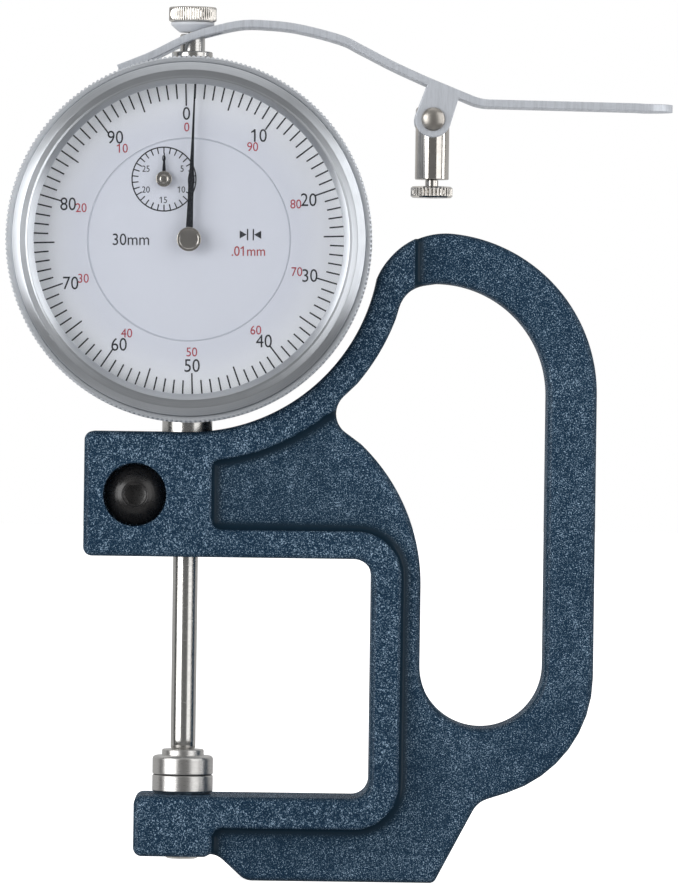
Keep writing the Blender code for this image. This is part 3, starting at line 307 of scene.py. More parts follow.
# Gives a node's inputs their values, or links them to other nodes' sockets
def feed(tree, node, inputs):
    for key, value in inputs.items():
        if isinstance(value, bpy.types.NodeSocket):
            tree.links.new(value, node.inputs[key])
        else:
            node.inputs[key].default_value = value


def addNode(tree, kind, inputs, **settings):
    node = tree.nodes.new("ShaderNode" + kind)
    for key, value in settings.items():
        setattr(node, key, value)
    feed(tree, node, inputs)
    return node


def noise(tree, vector, scale, detail=2.0, roughness=0.5):
    inputs = {"Vector": vector, "Scale": scale, "Detail": detail, "Roughness": roughness}
    return addNode(tree, "TexNoise", inputs).outputs["Fac"]


# Arithmetic on up to three numbers: MULTIPLY_ADD is the first times the second, plus the third
def calc(tree, operation, *inputs):
    return addNode(tree, "Math", dict(enumerate(inputs)), operation=operation).outputs[0]


def vectorCalc(tree, operation, *inputs):
    return addNode(tree, "VectorMath", dict(enumerate(inputs)), operation=operation).outputs


# A number carried from one range to another and kept inside it
def mapped(tree, value, low, high, first=0.0, last=1.0):
    inputs = {"Value": value, "From Min": low, "From Max": high, "To Min": first, "To Max": last}
    return addNode(tree, "MapRange", inputs).outputs[0]


# Colours or greys at places from 0 to 1
def rampNode(tree, source, stops, smooth=True):
    ramp = addNode(tree, "ValToRGB", {0: source})
    ramp.color_ramp.interpolation = "EASE" if smooth else "LINEAR"
    elements = ramp.color_ramp.elements
    for i, (position, colour) in enumerate(stops):
        element = elements[i] if i < 2 else elements.new(position)
        element.position = position
        element.color = (*colour, 1) if isinstance(colour, tuple) else (colour, colour, colour, 1)
    return ramp.outputs[0]


# Node group that takes a vector and numbers, and puts out numbers
def newGroup(name, numbers, outputs):
    tree = bpy.data.node_groups.new(name, "ShaderNodeTree")
    tree.interface.new_socket("Vector", in_out="INPUT", socket_type="NodeSocketVector")
    for label, value in numbers.items():
        socket = tree.interface.new_socket(label, in_out="INPUT", socket_type="NodeSocketFloat")
        socket.default_value = value
    for label in outputs:
        tree.interface.new_socket(label, in_out="OUTPUT", socket_type="NodeSocketFloat")
    return tree, tree.nodes.new("NodeGroupInput").outputs, tree.nodes.new("NodeGroupOutput")


# Outputs of a node group that is placed in a tree
def placeGroup(tree, group, vector, **numbers):
    return addNode(tree, "Group", {"Vector": vector, **numbers}, node_tree=group).outputs


# Handling marks: slow blotches and a few fine specks, from 0 to 1
def handlingGroup():
    tree, given, out = newGroup("handlingMarks", {"Scale": 60.0}, ["Mask"])
    blotch = noise(tree, given["Vector"], given["Scale"], 4.0, 0.6)
    fine = noise(tree, given["Vector"], calc(tree, "MULTIPLY", given["Scale"], 9.0))
    feed(tree, out, {"Mask": mapped(tree, calc(tree, "MULTIPLY", blotch, fine), 0.15, 0.4)})
    return tree


# Distance from the dial's axis, of a vector that is centred on it
def radiusGroup():
    tree, given, out = newGroup("radiusAbout", {}, ["Radius"])
    flat = vectorCalc(tree, "MULTIPLY", given["Vector"], (1, 0, 1))[0]
    feed(tree, out, {"Radius": vectorCalc(tree, "LENGTH", flat)["Value"]})
    return tree


# Turned lines: rings about the dial's axis, with an uneven pitch, as a lathe tool leaves them
def turnedGroup():
    tree, given, out = newGroup("turnedLines", {"Pitch": 9000.0}, ["Height"])
    radius = placeGroup(tree, radiusAbout, given["Vector"])["Radius"]
    inputs = {"W": radius, "Scale": given["Pitch"], "Detail": 3.0, "Roughness": 0.8}
    line = addNode(tree, "TexNoise", inputs, noise_dimensions="1D")
    feed(tree, out, {"Height": line.outputs["Fac"]})
    return tree


# Drawn streaks: a noise that the Mapping node in front of it has stretched along the piece
def streakGroup():
    tree, given, out = newGroup("drawnStreaks", {"Scale": 1.0}, ["Height", "Mask"])
    streak = noise(tree, given["Vector"], given["Scale"], 5.0, 0.7)
    feed(tree, out, {"Height": streak, "Mask": rampNode(tree, streak, [(0.35, 0.0), (0.7, 1.0)])})
    return tree


radiusAbout = radiusGroup()
handlingMarks, turnedLines, drawnStreaks = handlingGroup(), turnedGroup(), streakGroup()


# Material with its own shader; coordinates come from the object, centred and stretched by a Mapping node
def newFinish(name, colour, roughness, metallic=0.0, centre=(0, 0, 0), stretch=(1, 1, 1), **sockets):
    material = bpy.data.materials.new(name)
    material.use_nodes = True
    tree = material.node_tree
    shader = tree.nodes["Principled BSDF"]
    values = {"Base Color": (*colour, 1), "Roughness": roughness, "Metallic": metallic}
    feed(tree, shader, {**values, **sockets})
    place = addNode(tree, "TexCoord", {}).outputs["Object"]
    moved = {"Vector": place, "Location": [-c * s for c, s in zip(centre, stretch)], "Scale": stretch}
    mapping = addNode(tree, "Mapping", moved, vector_type="POINT")
    return material, tree, shader, mapping.outputs["Vector"]


def bumpFrom(tree, shader, height, distance, strength=0.5):
    bump = addNode(tree, "Bump", {"Height": height, "Distance": distance, "Strength": strength})
    feed(tree, shader, {"Normal": bump.outputs["Normal"]})


# The handling marks' mask, placed in a material
def marksIn(tree, vector, scale):
    return placeGroup(tree, handlingMarks, vector, Scale=scale)["Mask"]


def toned(colour, share):
    return tuple(c * share for c in colour)


# Roughness and colour that follow a mask between two values
def varyBy(tree, shader, mask, roughness, colours=None):
    feed(tree, shader, {"Roughness": mapped(tree, mask, 0.0, 1.0, *roughness)})
    if colours:
        feed(tree, shader, {"Base Color": rampNode(tree, mask, enumerate(colours), False)})


# Hammered paint: dark blue with dense pale flecks, uneven in patches, slightly raised. The roundings and
# fillets take the shade colour, darker and plainer than the flat faces: painted shade in the fillets by the
# raised rims, a little way onto the web, and on the roundings of the outer edges
paint = dict(dark=(0.0085, 0.025, 0.050), middle=(0.0185, 0.047, 0.084), fleck=(0.45, 0.62, 0.79),
             shade=(0.0085, 0.022, 0.037), stops=(0.50, 0.63, 0.78), fleckScale=5200, patchScale=600,
             wideScale=90, patchShare=0.12, wideShare=0.06, rise=0.00003, coat=0.2, coatRoughness=0.25,
             mixed=(0.41, 0.81), roughness=(0.5, 0.3))


def paintedIron(p):
    material, tree, shader, vector = newFinish("hammeredBluePaint", p["dark"], p["roughness"][0])
    fleck = noise(tree, vector, p["fleckScale"], 3.0, 0.75)
    patch = noise(tree, vector, p["patchScale"], 3.0, 0.6)
    uneven = calc(tree, "MULTIPLY_ADD", patch, p["patchShare"], fleck)
    mixed = calc(tree, "MULTIPLY_ADD", noise(tree, vector, p["wideScale"]), p["wideShare"], uneven)
    colour = rampNode(tree, mixed, zip(p["stops"], (p["dark"], p["middle"], p["fleck"])))
    # the slope attribute carries the painted shade of the fillets and edge roundings, mixed over the
    # flecked colour
    slope = addNode(tree, "Attribute", {}, attribute_name="slope").outputs["Fac"]
    shaded = {"Factor": slope, "A": colour, "B": (*p["shade"], 1)}
    both = addNode(tree, "Mix", shaded, data_type="RGBA").outputs["Result"]
    gloss = mapped(tree, mixed, *p["mixed"], *p["roughness"])
    feed(tree, shader, {"Base Color": both, "Roughness": gloss, "Specular IOR Level": 0.0,
                        "Coat Weight": p["coat"], "Coat Roughness": p["coatRoughness"]})
    bumpFrom(tree, shader, mixed, p["rise"], 0.6)
    return material


# Bare metals: colour and the share of it in a streak, roughness from smooth to marked, how many streaks
# there are along each axis, how deep they are, and how metallic it is: the zinc layer is dull and milky
metals = {
    "polishedSteel": ((0.60, 0.59, 0.57), 0.86, (0.18, 0.28), (600, 600, 9000), 0.000002, 1.0),
    "groundSteel": ((0.60, 0.59, 0.575), 0.86, (0.27, 0.37), (600, 600, 9000), 0.000003, 1.0),
    "nickelPlate": ((0.66, 0.63, 0.59), 0.86, (0.08, 0.18), (300, 300, 300), 0.000001, 1.0),
    "dullNickel": ((0.52, 0.49, 0.45), 0.86, (0.3, 0.4), (500, 500, 500), 0.000002, 1.0),
    "zincPlate": ((0.64, 0.67, 0.72), 0.84, (0.42, 0.56), (1900, 120, 200), 0.000012, 0.45),
    "movementBrass": ((0.62, 0.45, 0.17), 0.86, (0.22, 0.36), (500, 500, 500), 0.000002, 1.0),
}


def streakedMetal(name):
    colour, marked, roughness, stretch, rise, metallic = metals[name]
    material, tree, shader, vector = newFinish(name, colour, roughness[0], metallic, stretch=stretch)
    streak = placeGroup(tree, drawnStreaks, vector, Scale=1.0)
    varyBy(tree, shader, streak["Mask"], roughness, (colour, toned(colour, marked)))
    bumpFrom(tree, shader, streak["Height"], rise)
    return material


# Turned aluminium: lathe lines about the dial's axis, handling marks in its gloss. From the first to the
# second radius of "rim" it goes from metallic to the duller and milkier knurl
aluminium = dict(colour=(0.68, 0.71, 0.75), dull=0.84, roughness=(0.36, 0.44), marks=70.0, pitch=5200.0,
                 rise=0.000003, spread=0.75, lean=(0.0, 0.5, 0.0), rim=(0.02803, 0.02813, 1.0, 0.6))


def turnedMetal(name, a):
    material, tree, shader, vector = newFinish(name, a["colour"], a["roughness"][0], 1.0, centre=dialCentre,
                                               Anisotropic=a["spread"])
    # the gloss spreads across the lines: the position without its depth, made one long, with half as much
    # depth again so that it also holds on the rim
    flat = vectorCalc(tree, "MULTIPLY", vector, (1, 0, 1))[0]
    leaning = vectorCalc(tree, "ADD", vectorCalc(tree, "NORMALIZE", flat)[0], a["lean"])[0]
    across = addNode(tree, "VectorTransform", {"Vector": leaning}, vector_type="VECTOR",
                     convert_from="OBJECT", convert_to="WORLD").outputs[0]
    lines = placeGroup(tree, turnedLines, vector, Pitch=a["pitch"])["Height"]
    shine = mapped(tree, placeGroup(tree, radiusAbout, vector)["Radius"], *a["rim"])
    colour = rampNode(tree, lines, [(0.3, toned(a["colour"], a["dull"])), (0.7, a["colour"])], False)
    varyBy(tree, shader, marksIn(tree, vector, a["marks"]), a["roughness"])
    feed(tree, shader, {"Tangent": across, "Metallic": shine, "Base Color": colour})
    bumpFrom(tree, shader, lines, a["rise"])
    return material


# Paint, print and plastic, which handling marks change a little. The marked colour is given, or is a
# multiple of the plain one, or there is none
def softFinish(name, colour, marked, roughness, scale=60.0, **sockets):
    material, tree, shader, vector = newFinish(name, colour, roughness[0], **sockets)
    marked = toned(colour, marked) if isinstance(marked, float) else marked
    varyBy(tree, shader, marksIn(tree, vector, scale), roughness, (colour, marked) if marked else None)
    return material


# Dial: white with painted light toward the edge, paler there to offset the shade of the bezel's lip: from
# "start" to "end", in metres from the dial's axis, the share of the edge's colour rises as that power
enamel = dict(plain=(0.635, 0.665, 0.745), edge=(0.93, 0.955, 0.985), start=0.0172, end=0.0247, power=1.5,
              roughness=(0.5, 0.6))


def dialEnamel(e):
    material, tree, shader, vector = newFinish("dialEnamel", e["plain"], e["roughness"][0],
                                               centre=dialCentre)
    varyBy(tree, shader, marksIn(tree, vector, 60.0), e["roughness"])
    # painted light: the paler edge colour offsets the shade that the lip casts on the dial
    share = mapped(tree, placeGroup(tree, radiusAbout, vector)["Radius"], e["start"], e["end"])
    share = calc(tree, "POWER", share, e["power"])
    feed(tree, shader, {"Base Color": rampNode(tree, share, enumerate((e["plain"], e["edge"])), False)})
    return material


finishes = {
    "painted_iron": paintedIron(paint),
    "steel": streakedMetal("polishedSteel"),
    "nickel": streakedMetal("nickelPlate"),
    "zinc": streakedMetal("zincPlate"),
    "brass": streakedMetal("movementBrass"),
    "satin_aluminium": turnedMetal("satinAluminium", aluminium),
    "black_oxide": softFinish("blackOxide", (0.010, 0.010, 0.011), (0.028, 0.026, 0.025), (0.24, 0.42),
                              500.0, **{"Metallic": 0.3, "Specular IOR Level": 0.7}),
    "black_lacquer": softFinish("blackLacquer", (0.010, 0.011, 0.014), 1.4, (0.3, 0.42),
                                **{"Specular IOR Level": 0.2}),
    "dial_enamel": dialEnamel(enamel),
    "pale_plastic": softFinish("palePlastic", (0.66, 0.68, 0.72), 0.94, (0.3, 0.42)),
    "clear_glass": softFinish("clearCrystal", (0.25, 0.27, 0.3), None, (0.01, 0.05), 90.0, Alpha=0.02),
}
# the two discs that measure are ground, not polished
dullNickel, groundSteel = streakedMetal("dullNickel"), streakedMetal("groundSteel")
printed = (0.5, 0.6)
blackPrint = softFinish("blackPrint", (0.018, 0.020, 0.026), 1.3, printed)
redPrint = softFinish("redPrint", (0.42, 0.035, 0.060), 0.85, printed)
greyPrint = softFinish("greyPrint", (0.46, 0.50, 0.58), 0.95, printed)
deepPrint = softFinish("deepRedPrint", (0.40, 0.030, 0.030), 0.85, printed)
print("finishes made")

# Frame casting, measured from the gauge point: circles are (x, z, radius), corners (x, z, rounding), bores
# (radius, low, high), and turns are in radians. The borderSteps are distances from the line where the
# raised rims end, positive on the raised side
casting = dict(
    # the two numbers after edge, and the four on the next line, set the painted shade in the fillets and on
    # the roundings of the outer edges
    raisedHalf=8, thinHalf=6, edge=1, filletShade=3.2, edgeShade=0.4, outlineSpacing=2.2,
    shadeFrom=0.985, shadeTo=0.7, wallFrom=0.945, wallTo=0.995,
    fillet=1.9, filletTurn=radians(78), ridge=0.45, ridgeStart=0.06,
    slit=((-18, -2), (-0.6, 0.6), (33, 57)),
    stemBore=(4.3, 33, 57), screwBore=(2.8, -10, 10), screwSeat=(5.05, 4.9, 10), anvilBore=(3.05, -15, -1),
    cradle=30.5, hump=11.6, humpPlay=0.02, proud=0.15, humpTurn=0.03, crown=(39.6, 61.4, 25.5),
    blockTop=[(-16.2, 34.9, 1.4), (-16.2, 54.7, 1.4)],
    foot=[(65.1, 2.4, 19.5), (47, -3.5, 4), (40.2, -16.45, 1.2), (10.2, -16.45, 3)],
    heel=[(10.2, -16.45), (5.5, -12.2, 4), (0, -12.2)], heelFrom=4.52,
    lowerBlock=[(4.8, 0), (4.8, -12.7, 1.4), (0, -12.7)], lowerBlockFrom=-12.3,
    throat=[(-7.65, -12.7, 1.4), (-7.65, -3.05, 1.4), (29.7, -3.05, 2.7), (29.7, 34.9, 2.9)],
    openRim=35.1, openWeb=(6.8, 30.7, 30.7), openCrown=(39.6, 61.2, 17.7),
    openFoot=(47.4, 18.1, 9.9), openTip=3.7, openCorner=5.2,
    rim=35.2, rimThrough=36.6, rimTurn=0.157, rimStep=35.9, pocketX=4.1, pocketRound=1.8,
    rimLine=[(4.1, 39.3, 1.8), (34.3, 39.3, 7), (34.3, -7.95, 7), (4.8, -7.95, 1.8), (4.8, -30)], far=30,
    borderSteps=(-1.9, -1.6, -1.3, -1.02, -0.76, -0.52, -0.3, -0.12, 0, 0.06, 0.1, 0.17, 0.28, 0.4, 0.51))


# Outer edge of the casting, the finger opening, and the line where the raised rims end on the thin web
def castingLines(c):
    dialZ = (dialCentre[2] - gaugePoint[2]) * 1000
    cradle, crown = (0, dialZ, c["cradle"]), c["crown"]
    humpX, humpZ = crossing((0, dialZ, c["cradle"] + c["hump"] - c["humpPlay"]),
                            (*crown[:2], crown[2] - c["hump"]))
    hump, proud = (humpX, humpZ, c["hump"]), (humpX, humpZ, c["hump"] + c["proud"])
    meet, tangent = crossing(cradle, proud), angleTo(crown, hump)
    humpEnd = acos((c["rimStep"] - humpX) / proud[2])
    heel = softCorners(c["heel"], turnStep=0.05)[1:-1]
    block = softCorners(c["lowerBlock"], turnStep=0.1)[1:-1]
    outer = softCorners(
        c["blockTop"] + arcPoints(cradle, -pi / 2, angleTo(cradle, meet))
        + arcPoints(proud, angleTo(proud, meet), humpEnd)
        + arcPoints(hump, humpEnd - c["humpTurn"], tangent)
        + arcPoints(crown, tangent, 0)[1:] + c["foot"] + heel[heel[:, 0] > c["heelFrom"]].tolist()
        + block[block[:, 1] < c["lowerBlockFrom"]].tolist() + c["throat"], closed=True)
    rim, web, crown, tipRound = (0, dialZ, c["openRim"]), c["openWeb"], c["openCrown"], c["openTip"]
    tip, corner = crossing(rim, web), crossing(rim, crown)
    tipAngle = angleTo(rim, tip)
    opening = softCorners(
        arcPoints(rim, tipAngle + 2 * tipRound / rim[2], angleTo(rim, corner) - c["openCorner"] / rim[2])
        + [(*corner, c["openCorner"])]
        + arcPoints(crown, angleTo(crown, corner) - c["openCorner"] / crown[2], 0)
        + arcPoints(c["openFoot"], 0, -pi)
        + arcPoints(web, 0, angleTo(web, tip) - 2 * tipRound / web[2]) + [(*tip, tipRound)], closed=True)
    pocket = -acos(c["pocketX"] / c["rim"])
    start = asin((humpZ - dialZ) / c["cradle"]) - c["rimTurn"]
    border = softCorners(
        [(c["rimStep"], c["far"] + humpZ), (c["rimStep"], crown[1] + crown[2] - c["openCorner"] / 2)]
        + arcPoints((0, dialZ, c["rimThrough"]), start, tipAngle + c["rimTurn"])
        + arcPoints((0, dialZ, c["rim"]), tipAngle, pocket + c["pocketRound"] / c["rim"])
        + [(c["rim"] * cos(pocket), dialZ + c["rim"] * sin(pocket), c["pocketRound"] * 0.6)]
        + c["rimLine"])
    return outer, opening, border


# Distance to the line where the raised rims end, positive on the raised side
def borderSide(points, border):
    far = 50
    raised = np.vstack([border, [(-far, -far), (-far, 4 * far)]])
    return np.where(insideOf(points, raised), 1, -1) * distanceTo(points, border, False)


# Distance to the nearest of the two outer edges
def edgeDistance(points, lines):
    return np.minimum(distanceTo(points, lines[0]), distanceTo(points, lines[1]))


# Painted shade, from 0 to 1, by the cosine of the slope under it. It darkens the fillet beside the raised
# rims and a little way onto the web, and, at a smaller share, the roundings of the outer edges,
# though not the walls past them
def paintedShadeMask(points, lines, c):
    side = borderSide(points, lines[2])
    filletShade = np.where(side < 0, np.clip(1 + side / c["filletShade"], 0, 1), 0)
    rounding = np.clip(1 - edgeDistance(points, lines) / c["edge"], 0, 1)
    thin, edgeShade = [np.clip((c["shadeFrom"] - np.sqrt(1 - sine ** 2)) / (c["shadeFrom"] - c["shadeTo"]), 0, 1)
                  for sine in (filletShade, rounding)]
    face = np.clip((c["wallTo"] - rounding) / (c["wallTo"] - c["wallFrom"]), 0, 1)
    return np.maximum(thin, c["edgeShade"] * edgeShade * face)


# Half thickness of the casting at a point: thin web, concave fillet and rounded ridge up to the raised
# rims, by the distance to the border, less edge - sqrt(edge ** 2 - inward ** 2) near the outer edges
def castingHeight(points, lines, c):
    turn = np.linspace(0, c["filletTurn"], 12)
    filletX = -c["fillet"] + c["fillet"] * np.sin(turn) / sin(turn[-1])
    filletH = c["fillet"] * (1 - np.cos(turn))
    ridge = np.linspace(0, pi / 2, 8)
    ridgeX = c["ridge"] * (1 - np.cos(ridge)) + c["ridgeStart"]
    ridgeH = c["raisedHalf"] - c["thinHalf"] - c["ridge"] * (1 - np.sin(ridge))
    steps = np.interp(borderSide(points, lines[2]), np.r_[filletX, ridgeX], np.r_[filletH, ridgeH])
    inward = c["edge"] - np.clip(edgeDistance(points, lines), 0, c["edge"])
    return c["thinHalf"] + steps - c["edge"] + np.sqrt(np.maximum(c["edge"] ** 2 - inward ** 2, 0))


def castingMesh(lines, c):
    outer, opening, border = lines
    drawn = []
    for loop, way in ((outer, 1), (opening, -1)):
        inward = way if areaOf(loop) > 0 else -way
        drawn += [(offsetLine(loop, inward * d), True) for d in edgeSteps(c["edge"], 6)[0]]
    drawn += [(offsetLine(border, -d, False), False) for d in c["borderSteps"]]
    points, edges, first = [], [], 0
    for line, closed in drawn:
        index = first + np.arange(len(line))
        pairs = np.stack([index, np.roll(index, -1)], -1)
        edges.append(pairs if closed else pairs[:-1])
        points.append(line)
        first += len(line)
    made = delaunay_2d_cdt(np.concatenate(points).tolist(), np.concatenate(edges).tolist(), [], 0, 1e-6)
    flat, triangles = np.array([tuple(p) for p in made[0]]), np.array(made[2])
    kept = [insideOf(block, outer) & ~insideOf(block, opening)
            for block in np.array_split(flat[triangles].mean(1), 12)]
    used, triangles = np.unique(triangles[np.concatenate(kept)], return_inverse=True)
    triangles, flat = triangles.reshape(-1, 3), flat[used]
    # an edge of one triangle only is on the rim, where walls join the front's points to the back's
    pairs = np.stack([triangles, np.roll(triangles, -1, 1)], -1).reshape(-1, 2)
    count = len(flat)
    keys = np.sort(pairs, 1) @ (count, 1)
    places, times = np.unique(keys, return_index=True, return_counts=True)[1:]
    rim = pairs[places[times == 1]]
    front = np.stack([flat[:, 0], -castingHeight(flat, lines, c), flat[:, 1]], -1)
    walls = np.stack([rim[:, 0], rim[:, 1], rim[:, 1] + count, rim[:, 0] + count], -1)
    faces = triangles.tolist() + (triangles[:, ::-1] + count).tolist() + walls.tolist()
    return newMesh("frameCasting", np.vstack([front, front * (1, -1, 1)]), faces, gaugePoint)


def makeCasting(c):
    outer, opening, border = castingLines(c)
    lines = (evenLine(outer, c["outlineSpacing"]), evenLine(opening, c["outlineSpacing"]),
             evenLine(border, c["outlineSpacing"], False))
    body = tidyMesh(castingMesh(lines, c), 60)
    print("casting surface", len(body.vertices), "points")
    slit, slitFaces = [*product(*c["slit"])], [(0, 1, 3, 2), (4, 6, 7, 5), (0, 4, 5, 1), (2, 3, 7, 6),
                                               (0, 2, 6, 4), (1, 5, 7, 3)]
    cutters = [cutterMesh(cylinder(*c["stemBore"]), 72, gaugePoint, "up"),
               tidyMesh(newMesh("clampSlit", slit, slitFaces, gaugePoint)),
               cutterMesh(cylinder(*c["screwBore"]), 72, clampAxis),
               cutterMesh(cylinder(*c["screwSeat"]), 72, clampAxis),
               cutterMesh(cylinder(*c["anvilBore"]), 72, gaugePoint, "up")]
    mesh = tidyMesh(combined(body, cutters), 40, False)
    # the painted shade of the fillets and edge roundings goes to the paint as the slope attribute
    flat = (pointsOf(mesh) - gaugePoint)[:, [0, 2]] * 1000
    mask = mesh.attributes.new("slope", "FLOAT", "POINT")
    mask.data.foreach_set("value", paintedShadeMask(flat, lines, c))
    addPiece("frameCasting", mesh, "gauge_frame", "painted_iron", "frame")


makeCasting(casting)
print("casting made")


# Straight knurl: takes depth * (0.5 + 0.5 * cos(teeth * angle)) ** 1.6 off the rim, past a least radius,
# and fades out at both ends of a band of heights
def knurl(teeth, depth, low, high, fade, least):
    def ripple(radius, height, angle):
        wave = 0.5 + 0.5 * np.cos(teeth * angle)
        band = np.clip((height - low) / fade, 0, 1) * np.clip((high - height) / fade, 0, 1)
        return depth * wave ** 1.6 * band * (radius > least)
    return ripple


# Stations at even heights down a straight rim
def rimStations(radius, high, low, count):
    return [(radius, height) for height in np.linspace(high, low, count)]


# A turned piece from stations (radius, height, rounding) on an axis, less what the cutters take away
def makeTurned(name, node, body, slot, stations, columns=96, centre=dialCentre, facing="front",
               closed=False, turnStep=0.16, sharp=38, ripple=None, cutters=(), look=None):
    profile = ringProfile(stations, turnStep) if closed else softCorners(stations)
    mesh = newMesh(name, *turnedSurface(profile, columns, facing, ripple), centre)
    if cutters:
        mesh = combined(tidyMesh(mesh), cutters)
    addPiece(name, tidyMesh(mesh, sharp), body, slot, node, look=look)


# Round the dial's axis, heights toward the viewer from the middle of the frame's thickness
bezelRing = dict(
    name="bezelRing", node="bezel", body="bezel", slot="satin_aluminium", columns=1440, closed=True,
    turnStep=0.5, sharp=30, ripple=knurl(teeth=240, depth=0.26, low=8.1, high=13, fade=0.1, least=28.6),
    stations=[(25.4, 14.9, 0.1), (25.75, 14.8, 0.1), (26.65, 15, 0.2), (27.9, 14, 0.1), (27.9, 12.9),
              (28, 12.9), (28, 13.2, 0.04), (28.65, 13.2), (29, 12.9), (29, 12.6),
              *rimStations(29, 12.1, 8.3, 5), (29, 8, 0.2), (28.7, 7.7, 0.1), (27.3, 7.7, 0.1),
              (27.3, 9.6), (26.2, 9.6), (26.2, 13.9), (24.3, 13.9, 0.1)])
crystalDisc = dict(
    name="crystalDisc", node="crystal", body="bezel", slot="clear_glass", columns=180,
    stations=[(0, 13.6), (25.9, 13.6, 0.2), (25.9, 12.4, 0.2), (0, 12.4)])
dialRing = dict(
    name="dialRing", node="dial_ring", body="bezel", slot="dial_enamel", columns=200, closed=True,
    stations=[(16.11, 10.1, 0.08), (25.9, 10.1), (25.9, 9.6), (16.11, 9.6)])
dialDisc = dict(
    name="dialDisc", node="dial_center", body="gauge_frame", slot="dial_enamel", columns=200,
    stations=[(0, 10.1), (16.09, 10.1, 0.08), (16.09, 9.6), (0, 9.6)])
caseDrum = dict(
    name="caseDrum", node="case", body="gauge_frame", slot="satin_aluminium", columns=180, closed=True,
    stations=[(27, 9.3, 0.2), (27, -6.2, 0.4), (24.2, -6.2, 0.1), (24.2, 8.3), (1.2, 8.3), (1.2, 9.3)])
# the cover has a groove round it and a seat for each of its screws
backCover = dict(
    name="backCover", node="back_cover", body="gauge_frame", slot="satin_aluminium", columns=180,
    stations=[(0, -6.5), (26.8, -6.5), (26.8, -8.1, 0.5), (22.6, -8.1, 0.1), (22.2, -7.8, 0.1),
              (21.5, -7.8, 0.1), (21.1, -8.1, 0.1), (0, -8.1)],
    cutters=[cutterMesh(cylinder(1.7, -9.1, -7.1), 40,
                        middleOf("back_cover_screw_%d" % i) * (1, 0, 1)) for i in (1, 2, 3, 4)])
for piece in (bezelRing, crystalDisc, dialRing, dialDisc, caseDrum, backCover):
    makeTurned(**piece)
print("dial, bezel and case made")

# Spindle: a rod whose left side is cut flat with rack teeth
rod = dict(radius=2, foot=4.11, top=118.2, chamfer=0.3, bevel=0.2, rackFoot=43.35,
           pitch=0.625, teeth=54, flat=1.45, tooth=0.4, below=(6, 43), above=(78, 117))


def makeSpindle(r):
    head = r["rackFoot"] + r["pitch"] * r["teeth"]
    wave = r["rackFoot"] + r["pitch"] / 2 * np.arange(2 * r["teeth"] + 1)
    height = np.r_[r["foot"], r["foot"] + r["chamfer"], np.linspace(*r["below"], 12), wave,
                   r["rackFoot"] - 0.001, head + 0.001, np.linspace(*r["above"], 12),
                   r["top"] - r["chamfer"], r["top"]]
    height = np.unique(np.round(height, 4))
    past = np.clip(np.minimum(height - r["foot"], r["top"] - height) / r["chamfer"], 0, 1)
    radius = r["radius"] - r["bevel"] * (1 - past)

    # the rod ends at the tooth line's distance divided by the cosine of the angle from its left side
    def rack(radius, height, angle):
        tooth = np.abs(((height - r["rackFoot"]) / r["pitch"]) % 1 - 0.5) * 2
        side = (r["flat"] - r["tooth"] * (1 - tooth)) / np.maximum(-np.cos(angle), 1e-6)
        inRack = (height > r["rackFoot"] - 1e-4) & (height < head + 1e-4) & (np.cos(angle) < 0)
        return np.where(inRack, np.maximum(radius - side, 0), 0)

    stations = [(0, height[0]), *zip(radius, height), (0, height[-1])]
    makeTurned("spindleRod", "spindle", "spindle", "steel", stations, 96, gaugePoint, "up", ripple=rack)


makeSpindle(rod)

# Turned pieces that stand upright, heights from the gauge point
contactDisc = dict(
    name="contactDisc", node="contact_point", body="spindle", slot="steel", columns=128, look=groundSteel,
    stations=[(0, 9.8), (0.9, 9.8), (0.9, 4.1), (3.35, 4.1, 0.25), (3.35, 3.1, 0.1), (4.85, 3.1, 0.6),
              (4.85, 0.1, 0.2), (0, 0.1)])
anvilDisc = dict(
    name="anvilDisc", node="anvil", body="gauge_frame", slot="steel", columns=128, look=groundSteel,
    stations=[(0, 0), (4.85, 0, 0.2), (4.85, -2.5, 0.1), (4.3, -3.1), (2.75, -3.1), (2.75, -13.4, 0.7),
              (0, -13.4)])
stemTube = dict(
    name="stemTube", node="stem", body="gauge_frame", slot="steel",
    stations=[(2.3, 61.2), (4, 61.2), (4, 35.5, 0.4), (2.3, 35.5, 0.3), (2.3, 61.2)])
upperBush = dict(
    name="upperBush", node="upper_bush", body="gauge_frame", slot="steel",
    stations=[(2.3, 108.6), (2.3, 115.4, 0.2), (3.25, 115.4, 0.25), (3.25, 114.6, 0.1),
              (3.35, 114.4, 0.1), (3.35, 108.6), (2.3, 108.6)])
knobBowl = dict(
    name="knobBowl", node="knob_bowl", body="spindle", slot="pale_plastic",
    stations=[(1, 120.1), (3.45, 120.1, 0.15), (3.45, 119.65, 0.25), (2.7, 119, 0.8), (2.1, 118.5, 0.1),
              (1, 118.5), (1, 120.1)])
liftKnob = dict(
    name="liftKnob", node="lift_knob", body="spindle", slot="nickel", columns=448,
    ripple=knurl(teeth=56, depth=0.13, low=120.35, high=122.3, fade=0.3, least=3.5),
    stations=[(0, 122.38), (2.6, 122.38, 0.2), (2.9, 122.5, 0.1), (3.7, 122.5, 0.12), (3.8, 122.3),
              *rimStations(3.8, 122.05, 120.6, 4), (3.8, 120.35), (3.5, 120.15, 0.1), (0.7, 120.15),
              (0.7, 113.5), (0, 113.5)])
for piece in (contactDisc, anvilDisc, stemTube, upperBush, knobBowl, liftKnob):
    makeTurned(**piece, centre=gaugePoint, facing="up")

